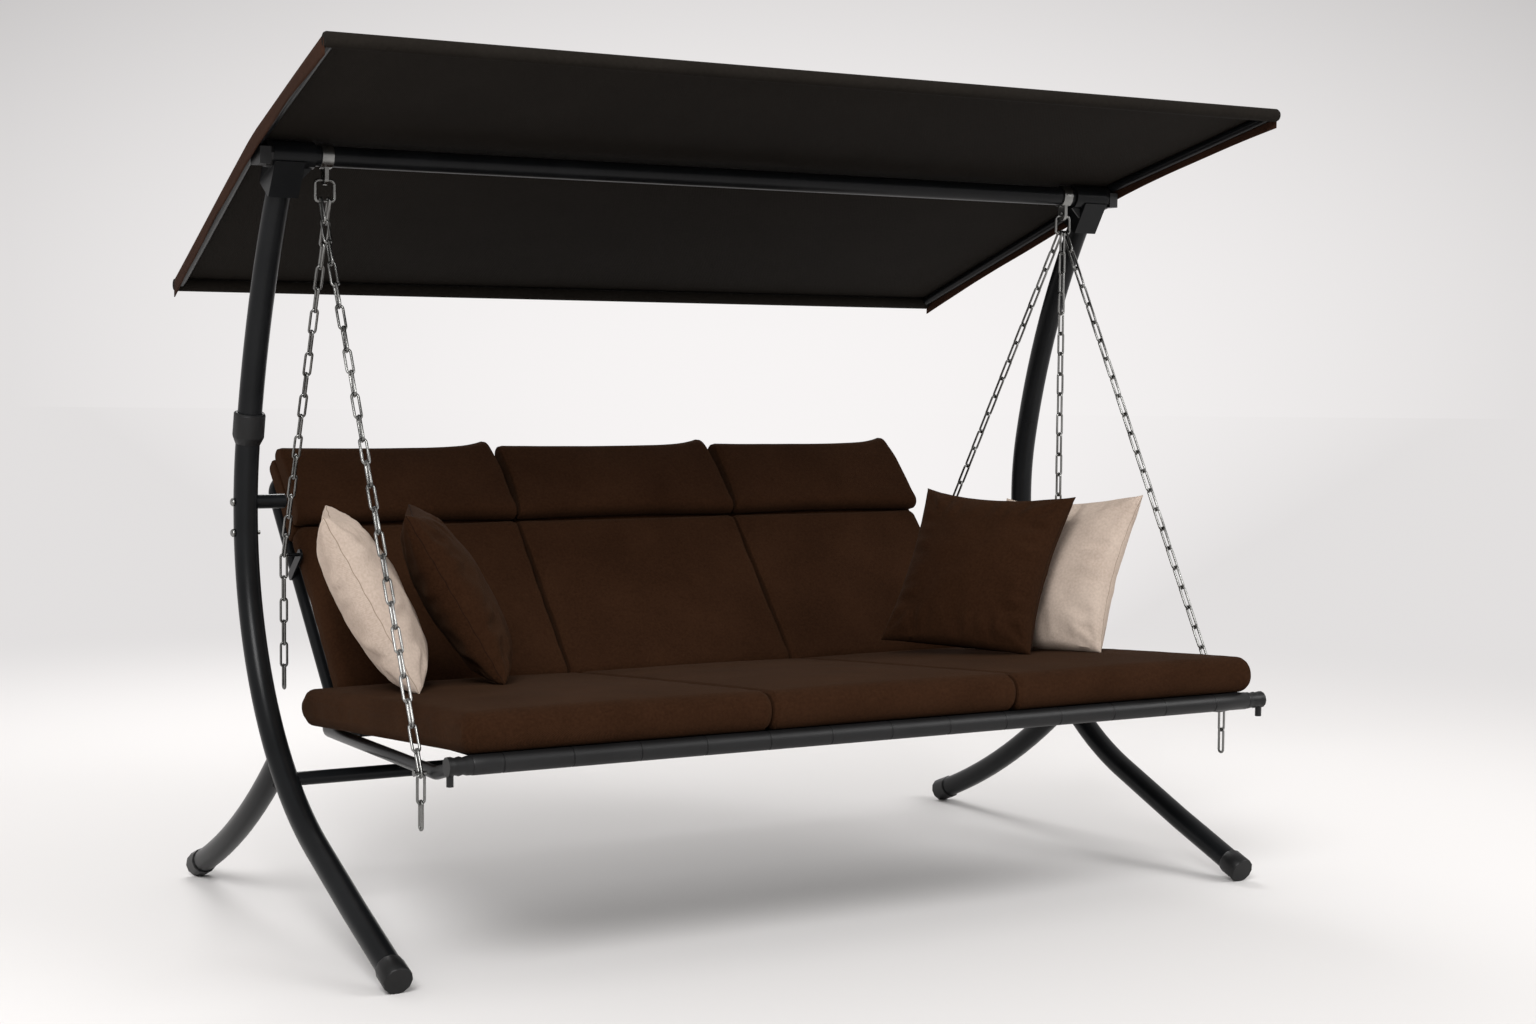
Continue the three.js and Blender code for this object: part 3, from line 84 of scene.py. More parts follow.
# How near two points are to be joined, in a tube's ends and in a CAD node
RING_JOIN = 0.00005
NODE_JOIN = 0.00002
SHARP_ANGLE = math.radians(38)
BEVEL_ANGLE = math.radians(40)
FLAT_ANGLE = math.radians(1)


class Named(Enum):
    """A choice whose name is also a word in the CAD nodes' names."""

    @property
    def word(self) -> str:
        """The choice's name in a CAD node's name."""
        return self.name.lower()


class Side(Named):
    """The two ends of the swing, as seen from the front."""

    LEFT = -1
    RIGHT = 1


class Place(Named):
    """The three seats, as seen from the front."""

    LEFT = -1
    CENTRE = 0
    RIGHT = 1


class Body(Enum):
    """The bodies that move on their own."""

    STAND = "stand"
    SWING = "swing"
    BACK = "back"
    CANOPY = "canopy"


class Slot(Enum):
    """The record's material slots."""

    PAINT = "frame_paint"
    PLASTIC = "black_plastic"
    STEEL = "bright_steel"
    BROWN = "brown_fabric"
    CREAM = "cream_fabric"
    CANOPY = "canopy_fabric"
    SLING = "sling_fabric"


def new_group(name: str, numbers: dict[str, float], results: dict[str, str]) -> bpy.types.NodeTree:
    """Starts a shader node group that takes a Vector.

    Args:
        name: The group's name.
        numbers: The default of each number that it takes too.
        results: The socket type's short name for each output.

    Returns:
        The node group.
    """
    group = bpy.data.node_groups.new(name, "ShaderNodeTree")
    group.interface.new_socket("Vector", in_out="INPUT", socket_type="NodeSocketVector")
    for word, value in numbers.items():
        number = group.interface.new_socket(word, in_out="INPUT", socket_type="NodeSocketFloat")
        number.default_value = value
    for word, kind in results.items():
        group.interface.new_socket(word, in_out="OUTPUT", socket_type=f"NodeSocket{kind}")
    return group


def feed(tree: bpy.types.NodeTree, node: bpy.types.Node, inputs: dict[str | int, object]) -> None:
    """Sets or links a node's inputs.

    Args:
        tree: The node tree.
        node: The node.
        inputs: A value or another node's output for each input.
    """
    for key, value in inputs.items():
        if isinstance(value, bpy.types.NodeSocket):
            tree.links.new(value, node.inputs[key])
        else:
            node.inputs[key].default_value = value


def add_node(
    tree: bpy.types.NodeTree, kind: str, inputs: dict[str | int, object], **settings: object
) -> bpy.types.Node:
    """Adds a shader node.

    Args:
        tree: The node tree.
        kind: The node type's short name, such as Math.
        inputs: A value or another node's output for each input.
        settings: The node's own settings.

    Returns:
        The node.
    """
    node = tree.nodes.new(f"ShaderNode{kind}")
    for name, value in settings.items():
        setattr(node, name, value)
    feed(tree, node, inputs)
    return node


def math_node(tree: bpy.types.NodeTree, operation: str, *values: object) -> object:
    """The result of a Math node on sockets or numbers."""
    return add_node(tree, "Math", dict(enumerate(values)), operation=operation).outputs[0]


def noise_node(tree: bpy.types.NodeTree, vector: object, scale: object, detail: float) -> object:
    """The value of a Noise Texture, with its scale in cells to the metre and its detail in octaves."""
    return add_node(tree, "TexNoise", {"Vector": vector, "Scale": scale, "Detail": detail}).outputs["Fac"]


def weave_group() -> bpy.types.NodeTree:
    """Builds the plain weave: threads that pass over and under each other, with slubs.

    Returns:
        The node group, with a Height and a Tone.
    """
    slub_cells_to_thread = 0.09
    blotch_cells = 7.0
    slub_share = 0.6
    group = new_group("plain_weave", {"Threads": 900.0, "Slub": 0.5}, {"Height": "Float", "Tone": "Float"})
    start = group.nodes.new("NodeGroupInput").outputs
    split = add_node(group, "SeparateXYZ", {0: start["Vector"]}).outputs
    across = math_node(group, "MULTIPLY", split["X"], start["Threads"])
    along = math_node(group, "MULTIPLY", math_node(group, "ADD", split["Y"], split["Z"]), start["Threads"])
    crossing = math_node(group, "MULTIPLY", math_node(group, "SINE", across), math_node(group, "SINE", along))
    slub_scale = math_node(group, "MULTIPLY", start["Threads"], slub_cells_to_thread)
    slub = noise_node(group, start["Vector"], slub_scale, 3.0)
    slubs = math_node(group, "MULTIPLY", slub, start["Slub"])
    height = math_node(group, "ADD", math_node(group, "MULTIPLY", crossing, 0.5), slubs)
    blotch = noise_node(group, start["Vector"], blotch_cells, 2.0)
    slub_tone = math_node(group, "MULTIPLY", slub, slub_share)
    tone = math_node(group, "ADD", slub_tone, math_node(group, "MULTIPLY", blotch, 1 - slub_share))
    feed(group, group.nodes.new("NodeGroupOutput"), {"Height": height, "Tone": tone})
    return group


def wear_group() -> bpy.types.NodeTree:
    """Builds the fine unevenness of a painted, moulded or plated surface.

    Returns:
        The node group, with a Height and a Mask.
    """
    broad_cells = 9.0
    group = new_group("surface_unevenness", {"Grain": 400.0}, {"Height": "Float", "Mask": "Float"})
    start = group.nodes.new("NodeGroupInput").outputs
    fine = noise_node(group, start["Vector"], start["Grain"], 2.0)
    broad = noise_node(group, start["Vector"], broad_cells, 4.0)
    feed(group, group.nodes.new("NodeGroupOutput"), {"Height": fine, "Mask": broad})
    return group


@dataclass(frozen=True)
class Shades:
    """Two tones of one finish, its roughness from low to high, and the values of its grain and gloss."""

    dark: tuple[float, float, float]
    light: tuple[float, float, float]
    rough: tuple[float, float]
    grain: float
    bump: float
    metallic: float = 0.0
    sheen: float = 0.0
    slub: float = 0.5
    gloss: float = 0.06


class Finishes:
    """All the swing's materials, built once from shared node groups."""

    SHADES: dict[Slot, Shades] = {
        Slot.PAINT: Shades(
            (0.0045, 0.005, 0.0056), (0.0068, 0.0074, 0.0082), (0.26, 0.34), 700.0, 0.00004, gloss=0.16,
        ),
        Slot.PLASTIC: Shades(
            (0.005, 0.005, 0.0052), (0.008, 0.008, 0.0084), (0.38, 0.5), 900.0, 0.00006, gloss=0.3,
        ),
        Slot.STEEL: Shades(
            (0.13, 0.13, 0.125), (0.3, 0.3, 0.29), (0.2, 0.36), 500.0, 0.00003, metallic=1.0, gloss=0.5,
        ),
        Slot.BROWN: Shades(
            (0.0215, 0.0088, 0.0040), (0.034, 0.0146, 0.0070), (0.9, 1.0), 2100.0, 0.0005,
            sheen=0.025, gloss=0.02,
        ),
        Slot.CREAM: Shades(
            (0.47, 0.375, 0.31), (0.58, 0.475, 0.4), (0.9, 1.0), 2100.0, 0.0005, sheen=0.05, slub=0.8,
        ),
        Slot.CANOPY: Shades((0.0105, 0.0086, 0.0069), (0.0140, 0.0117, 0.0096), (0.85, 0.95), 1500.0, 0.0002),
        Slot.SLING: Shades((0.006, 0.006, 0.006), (0.012, 0.012, 0.012), (0.7, 0.85), 1300.0, 0.0003),
    }
    CLOTHS = (Slot.BROWN, Slot.CREAM, Slot.CANOPY, Slot.SLING)
    EDGE_SHADES = Shades((0.028, 0.0125, 0.0075), (0.042, 0.019, 0.0115), (0.85, 0.95), 1500.0, 0.0002)
    # Darker tones for the band along a cushion's seam: painted shade where its two faces meet
    SEAM_SHADES: dict[Slot, Shades] = {
        Slot.BROWN: Shades((0.010, 0.0045, 0.0025), (0.015, 0.0065, 0.0035), (0.9, 1.0), 2100.0, 0.0004),
        Slot.CREAM: Shades((0.25, 0.19, 0.145), (0.32, 0.25, 0.19), (0.9, 1.0), 2100.0, 0.0004),
    }
    SHEEN_TINT = (0.9, 0.62, 0.42, 1)
    MASK_RANGE = (0.35, 0.65)

    def __init__(self) -> None:
        """Builds the groups and the materials."""
        self.weave = weave_group()
        self.wear = wear_group()
        self.by_slot = {
            slot: self.build(slot.value, shades, slot in self.CLOTHS) for slot, shades in self.SHADES.items()
        }
        self.canopy_edge = self.build("canopy_edge_cloth", self.EDGE_SHADES, True)
        # The cushions' seam materials carry that painted shade
        self.seams = {
            slot: self.build(f"{slot.name.lower()}_seam", shades, True)
            for slot, shades in self.SEAM_SHADES.items()
        }

    def build(self, name: str, shades: Shades, is_cloth: bool) -> bpy.types.Material:
        """Builds one material, whose two tones and roughness follow its group's mask.

        Args:
            name: The material's name.
            shades: Its tones and gloss.
            is_cloth: Whether it is woven.

        Returns:
            The material.
        """
        material = bpy.data.materials.new(name)
        material.use_nodes = True
        tree = material.node_tree
        place = add_node(tree, "TexCoord", {}).outputs["Object"]
        if is_cloth:
            inputs = {"Vector": place, "Threads": shades.grain, "Slub": shades.slub}
        else:
            inputs = {"Vector": place, "Grain": shades.grain}
        group = add_node(tree, "Group", inputs, node_tree=self.weave if is_cloth else self.wear)
        mask = group.outputs["Tone" if is_cloth else "Mask"]
        low, high = self.MASK_RANGE
        share = add_node(tree, "MapRange", {"Value": mask, "From Min": low, "From Max": high})
        tones = {"Factor": share.outputs["Result"], "A": (*shades.dark, 1), "B": (*shades.light, 1)}
        low, high = shades.rough
        rough = add_node(tree, "MapRange", {"Value": mask, "To Min": low, "To Max": high})
        relief = {"Height": group.outputs["Height"], "Distance": shades.bump, "Strength": 1.0}
        feed(tree, tree.nodes["Principled BSDF"], {
            "Base Color": add_node(tree, "Mix", tones, data_type="RGBA").outputs["Result"],
            "Roughness": rough.outputs["Result"],
            "Normal": add_node(tree, "Bump", relief).outputs["Normal"],
            "Metallic": shades.metallic,
            "Sheen Weight": shades.sheen,
            "Sheen Roughness": 0.5,
            "Sheen Tint": self.SHEEN_TINT,
            "Specular IOR Level": shades.gloss,
        })
        return material


FINISHES = Finishes()


def body_of_node(name: str) -> Body:
    """The body that a CAD node rides on."""
    return Body(body_of(frame["nodes"][name])[0])


def at_side(side: Side, point: tuple[float, float, float]) -> Vector:
    """A point given for the right side, at either side."""
    return Vector((side.value * point[0], point[1], point[2]))


def new_mesh(name: str, bm: bmesh.types.BMesh) -> bpy.types.Mesh:
    """Turns a bmesh into a mesh and frees it.

    Args:
        name: The mesh's name.
        bm: The bmesh.

    Returns:
        The mesh.
    """
    mesh = bpy.data.meshes.new(name)
    bm.to_mesh(mesh)
    bm.free()
    return mesh


def new_object(name: str, data: bpy.types.ID) -> bpy.types.Object:
    """Puts a new object into the scene.

    Args:
        name: The object's name.
        data: Its mesh, lamp or camera.

    Returns:
        The object.
    """
    thing = bpy.data.objects.new(name, data)
    bpy.context.scene.collection.objects.link(thing)
    return thing


def add_mesh(whole: bmesh.types.BMesh, part: bmesh.types.BMesh) -> None:
    """Adds a part's mesh to a whole one and frees the part.

    Args:
        whole: The mesh that grows.
        part: The mesh to add.
    """
    mesh = new_mesh("part", part)
    whole.from_mesh(mesh)
    bpy.data.meshes.remove(mesh)


def make_piece(
    name: str, bm: bmesh.types.BMesh, slot: Slot, body: Body, stands_for: tuple[str, ...] = ()
) -> bpy.types.Object:
    """Turns a bmesh into a finished piece of the swing.

    Args:
        name: The piece's name.
        bm: The mesh, in the row frame; it is freed.
        slot: The material slot it takes its finish from.
        body: The body it rides on.
        stands_for: The CAD nodes it replaces.

    Returns:
        The new object.
    """
    mesh = new_mesh(name, bm)
    mesh.materials.append(FINISHES.by_slot[slot])
    mesh.shade_smooth()
    mesh.set_sharp_from_angle(angle=SHARP_ANGLE)
    piece = new_object(name, mesh)
    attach(piece, body.value)
    if stands_for:
        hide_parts(*stands_for)
    LOG.info("%s: %d faces", name, len(mesh.polygons))
    return piece


def thicken(sheet: bpy.types.Object, thickness: float, offset: float) -> None:
    """Gives a sheet of cloth its thickness.

    Args:
        sheet: The sheet.
        thickness: How thick it is.
        offset: 1 puts the thickness outside, and 0 on both sides.
    """
    thick = sheet.modifiers.new("cloth_thickness", "SOLIDIFY")
    thick.thickness = thickness
    thick.offset = offset


def dress_node(name: str, slot: Slot, bevel: float) -> None:
    """Takes over a CAD node's shape as a merged piece with rounded edges.

    Args:
        name: The CAD node.
        slot: The finish.
        bevel: How wide its edges are rounded, in metres.
    """
    bm = bmesh.new()
    bm.from_mesh(frame["nodes"][name].data)
    bmesh.ops.remove_doubles(bm, verts=bm.verts, dist=NODE_JOIN)
    bmesh.ops.dissolve_limit(bm, angle_limit=FLAT_ANGLE, verts=bm.verts, edges=bm.edges)
    piece = make_piece(f"{name}_piece", bm, slot, body_of_node(name), (name,))
    edges = piece.modifiers.new("rounded_edges", "BEVEL")
    edges.width = bevel
    edges.segments = 2
    edges.limit_method = "ANGLE"
    edges.angle_limit = BEVEL_ANGLE


class TubeBender:
    """Shapes a round tube by extruding and spinning its end ring."""

    def __init__(
        self, start: Vector, heading: Vector, radius: float, sides: int = 32, capped: bool = True
    ) -> None:
        """Starts a tube with a ring.

        Args:
            start: The middle of the first ring.
            heading: The way the tube leaves it.
            radius: The tube's radius.
            sides: How many faces go round it.
            capped: Whether its ends are closed.
        """
        self.bm = bmesh.new()
        self.place = start.copy()
        self.heading = heading.normalized()
        self.radius = radius
        self.capped = capped
        turn = Matrix.Translation(start) @ self.heading.to_track_quat("Z", "Y").to_matrix().to_4x4()
        bmesh.ops.create_circle(self.bm, cap_ends=capped, radius=radius, segments=sides, matrix=turn)
        self.edges = list(self.bm.edges)

    def straight(self, length: float) -> "TubeBender":
        """Runs on straight.

        Args:
            length: How far.

        Returns:
            The bender itself.
        """
        made = bmesh.ops.extrude_edge_only(self.bm, edges=self.edges)
        ring = {g for g in made["geom"] if isinstance(g, bmesh.types.BMVert)}
        self.edges = [g for g in made["geom"] if isinstance(g, bmesh.types.BMEdge) and set(g.verts) <= ring]
        bmesh.ops.translate(self.bm, verts=list(ring), vec=self.heading * length)
        self.place += self.heading * length
        return self

    def widen(self, radius: float, length: float = 0.0) -> "TubeBender":
        """Runs on to a ring of another radius.

        Args:
            radius: The new ring's radius.
            length: How far on it is.

        Returns:
            The bender itself.
        """
        self.straight(length)
        share = radius / self.radius
        for vert in {v for e in self.edges for v in e.verts}:
            vert.co = self.place + (vert.co - self.place) * share
        self.radius = radius
        return self

    def bend(self, radius: float, angle: float, axis: Vector, steps: int) -> "TubeBender":
        """Bends round an axis, right-handed.

        Args:
            radius: The radius of the centre line.
            angle: How far it turns; a whole turn closes the tube.
            axis: The way the axis runs.
            steps: How many rings it takes.

        Returns:
            The bender itself.
        """
        turn = axis.normalized() if angle > 0 else -axis.normalized()
        centre = self.place + turn.cross(self.heading) * radius
        verts = {v for e in self.edges for v in e.verts}
        made = bmesh.ops.spin(
            self.bm, geom=[*verts, *self.edges], cent=centre, axis=turn, angle=abs(angle), steps=steps,
            use_merge=math.isclose(abs(angle), math.tau), use_duplicate=False,
        )
        self.edges = [g for g in made["geom_last"] if isinstance(g, bmesh.types.BMEdge)]
        spun = Matrix.Rotation(abs(angle), 3, turn)
        self.place = centre + spun @ (self.place - centre)
        self.heading = spun @ self.heading
        return self

    def finish(self) -> bmesh.types.BMesh:
        """Closes the last ring and turns the faces outwards.

        Returns:
            The mesh.
        """
        if self.capped:
            bmesh.ops.contextual_create(self.bm, geom=self.edges)
        bmesh.ops.recalc_face_normals(self.bm, faces=self.bm.faces)
        return self.bm

    def close(self) -> bmesh.types.BMesh:
        """Joins the last ring of an endless tube to its first, and returns the mesh."""
        bmesh.ops.remove_doubles(self.bm, verts=self.bm.verts, dist=RING_JOIN)
        return self.finish()


def rod(start: Vector, way: Vector, length: float, radius: float, sides: int) -> bmesh.types.BMesh:
    """A straight round rod from a point, with closed ends."""
    return TubeBender(start, way, radius, sides).straight(length).finish()


def rounded_tube(points: list[Vector], bend_radius: float, radius: float, sides: int) -> bmesh.types.BMesh:
    """Bends a tube through corner points.

    Args:
        points: The first end, the corners and the last end.
        bend_radius: The radius of the centre line at each corner.
        radius: The tube's radius.
        sides: How many faces go round it.

    Returns:
        The closed tube.
    """
    degrees_to_step = 5
    bender = TubeBender(points[0], points[1] - points[0], radius, sides)
    for corner, following in pairwise(points[1:]):
        leaving = (following - corner).normalized()
        angle = bender.heading.angle(leaving)
        axis = bender.heading.cross(leaving).normalized()
        cut_back = bend_radius * math.tan(angle / 2)
        bender.straight((corner - bender.place).length - cut_back)
        bender.bend(bend_radius, angle, axis, max(4, round(math.degrees(angle) / degrees_to_step)))
        bender.heading = leaving
    return bender.straight((points[-1] - bender.place).length).finish()


@dataclass
class Bends:
    """A tube's centre line in the YZ plane, as runs of (length, turn in radians)."""

    start: tuple[float, float]
    heading: float
    runs: list[tuple[float, float]]
    sides: int = 40
    degrees_to_step: float = 1.5
    shortest: float = 0.001

    @property
    def total(self) -> float:
        """The line's whole length."""
        return sum(length for length, _ in self.runs)

    def at(self, distance: float) -> tuple[float, float, float]:
        """Follows the line.

        Args:
            distance: How far along it.

        Returns:
            The Y, the Z and the heading there.
        """
        y, z = self.start
        heading = self.heading
        for length, turn in self.runs:
            part = min(distance, length)
            radius = length / turn
            end = heading + turn * part / length
            y += radius * (math.sin(end) - math.sin(heading))
            z -= radius * (math.cos(end) - math.cos(heading))
            heading = end
            distance -= part
            if distance <= 0:
                break
        return y, z, heading

    def reach(self, height: float, per_metre: int) -> float:
        """How far along it the line comes up to a height, tried at so many places to the metre."""
        return next(i / per_metre for i in count() if self.at(i / per_metre)[1] >= height)

    def tube(self, x: float, first: float, last: float, radius: float) -> bmesh.types.BMesh:
        """Bends a tube along part of the line.

        Args:
            x: The plane it lies in.
            first: Where it starts along the line.
            last: Where it ends.
            radius: Its radius.

        Returns:
            The closed tube.
        """
        y, z, heading = self.at(first)
        way = Vector((0, math.cos(heading), math.sin(heading)))
        bender = TubeBender(Vector((x, y, z)), way, radius, self.sides)
        done = 0.0
        for length, turn in self.runs:
            low, high = max(first, done), min(last, done + length)
            done += length
            if high - low > self.shortest:
                angle = turn * (high - low) / length
                steps = max(2, round(abs(math.degrees(angle)) / self.degrees_to_step))
                bender.bend(abs(length / turn), angle, X_AXIS, steps)
        return bender.finish()


@dataclass
class SideFrames:
    """The two curved side frames and what sits on them."""

    half_spacing: float = 1.0
    radius: float = 0.025
    foot_y: float = -0.560 + SHIFT_Y
    foot_heading: float = math.radians(20.5)
    foot_length: float = 0.456
    foot_bend: float = math.radians(2.9)
    main_radius: float = 0.684
    main_bend: float = math.radians(78.3)
    upper_radius: float = 1.682
    upper_bend: float = math.radians(21.6)
    cap_radius: float = 0.0285
    cap_end: float = 0.004
    cap_flat: float = 0.0022
    cap_bevel: float = 0.0025
    coupling_z: float = 1.008
    beam_radius: float = 0.021
    socket_wall: float = 0.006
    gap: float = 0.0003
    rear_joint: float = 0.706
    rear_top: float = math.radians(40)
    rear_foot: float = math.radians(20)
    gusset_bevel: float = 0.001
    collar_bevel: float = 0.002
    screw_bevel: float = 0.0012
    crossbar_along: float = 0.655
    crossbar_radius: float = 0.014
    crossbar_inset: float = 0.0175
    stub_radius: float = 0.015
    stub_sunk: float = 0.004
    stub_chamfer: float = 0.002
    eye_z: float = 0.392
    eye_wire: float = 0.003
    eye_radius: float = 0.013
    eye_sunk: float = 0.002

    def foot_height(self, slope: float) -> float:
        """How high a tube's end stands in its cap, for its slope."""
        return self.cap_radius * math.cos(slope) + self.cap_end * math.sin(slope) - self.cap_flat

    def post_line(self) -> Bends:
        """The line of the front leg and the post.

        Returns:
            Three bends, from the front foot up.
        """
        runs = [
            (self.foot_length, self.foot_bend),
            (self.main_radius * self.main_bend, self.main_bend),
            (self.upper_radius * self.upper_bend, self.upper_bend),
        ]
        return Bends((self.foot_y, self.foot_height(self.foot_heading)), self.foot_heading, runs)

    def rear_line(self, post: Bends) -> Bends:
        """The rear leg's line.

        Args:
            post: The line that it joins.

        Returns:
            One bend, from the rear foot up to the joint.
        """
        y, z, _ = post.at(self.rear_joint)
        foot_z = self.foot_height(self.rear_foot)
        radius = (z - foot_z) / (math.cos(self.rear_foot) - math.cos(self.rear_top))
        foot_y = y + radius * (math.sin(self.rear_top) - math.sin(self.rear_foot))
        turn = self.rear_foot - self.rear_top
        return Bends((foot_y, foot_z), math.pi - self.rear_foot, [(radius * -turn, turn)])

    def build(self) -> None:
        """Bends the tubes and dresses the fittings."""
        post = self.post_line()
        rear = self.rear_line(post)
        coupling = post.reach(self.coupling_z, 10000)
        top = post.total - self.beam_radius - self.gap - self.socket_wall
        for side in Side:
            x = side.value * self.half_spacing
            tubes = {
                "front_leg": post.tube(x, 0, coupling, self.radius),
                "upper_post": post.tube(x, coupling + self.gap, top, self.radius),
                "rear_leg": rear.tube(x, 0, rear.total, self.radius),
            }
            for part, bm in tubes.items():
                node = f"{part}_{side.word}"
                make_piece(f"{node}_tube", bm, Slot.PAINT, Body.STAND, (node,))
            dress_node(f"leg_gusset_{side.word}", Slot.PAINT, self.gusset_bevel)
            dress_node(f"front_foot_{side.word}", Slot.PLASTIC, self.cap_bevel)
            dress_node(f"rear_foot_{side.word}", Slot.PLASTIC, self.cap_bevel)
        dress_node("post_collar_left", Slot.PLASTIC, self.collar_bevel)
        dress_node("stub_screw_upper", Slot.STEEL, self.screw_bevel)
        dress_node("stub_screw_lower", Slot.STEEL, self.screw_bevel)
        self.crossbar(post)
        self.side_stub()
        self.tie_eye(post)

    def crossbar(self, post: Bends) -> None:
        """Makes the bar between the legs, which runs into both tubes.

        Args:
            post: The legs' line.
        """
        y, z, _ = post.at(self.crossbar_along)
        reach = self.half_spacing - self.crossbar_inset
        bar = rod(Vector((-reach, y, z)), X_AXIS, reach * 2, self.crossbar_radius, 32)
        make_piece("lower_crossbar_tube", bar, Slot.PAINT, Body.STAND, ("lower_crossbar",))

    def side_stub(self) -> None:
        """Makes the left post's short side tube, sunk into the post and chamfered at its end."""
        low, high = (Vector(c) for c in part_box("side_stub_left"))
        middle = (low + high) / 2
        stub = TubeBender(Vector((low.x - self.stub_sunk, middle.y, middle.z)), X_AXIS, self.stub_radius)
        stub.straight(high.x - low.x + self.stub_sunk - self.stub_chamfer)
        stub.widen(self.stub_radius - self.stub_chamfer, self.stub_chamfer)
        make_piece("side_stub_left_tube", stub.finish(), Slot.PAINT, Body.STAND, ("side_stub_left",))

    def tie_eye(self, post: Bends) -> None:
        """Makes the eye that is welded under the left leg.

        Args:
            post: The leg's line.
        """
        y, z, heading = post.at(post.reach(self.eye_z, 1000))
        away = Vector((0, math.sin(heading), -math.cos(heading)))
        out = self.radius - self.eye_sunk + self.eye_wire
        start = Vector((-self.half_spacing, y, z)) + away * out
        eye = TubeBender(start, Vector((0, away.z, -away.y)), self.eye_wire, 12, False)
        eye.bend(self.eye_radius, math.tau, X_AXIS, 28)
        make_piece("tie_eye_ring", eye.finish(), Slot.STEEL, Body.STAND)


@dataclass
class Beam:
    """The beam over the seat with its sockets and hooks."""

    half_length: float = 1.033
    radius: float = 0.021
    y: float = -0.0049
    z: float = 1.5451
    socket_bevel: float = 0.003
    hook_bevel: float = 0.001

    def build(self) -> None:
        """Makes the tube and dresses what it carries."""
        start = Vector((-self.half_length, self.y, self.z))
        tube = rod(start, X_AXIS, self.half_length * 2, self.radius, 40)
        make_piece("beam_tube", tube, Slot.PAINT, Body.STAND, ("beam",))
        for side in Side:
            dress_node(f"beam_socket_{side.word}", Slot.PAINT, self.socket_bevel)
            dress_node(f"beam_hook_{side.word}", Slot.STEEL, self.hook_bevel)


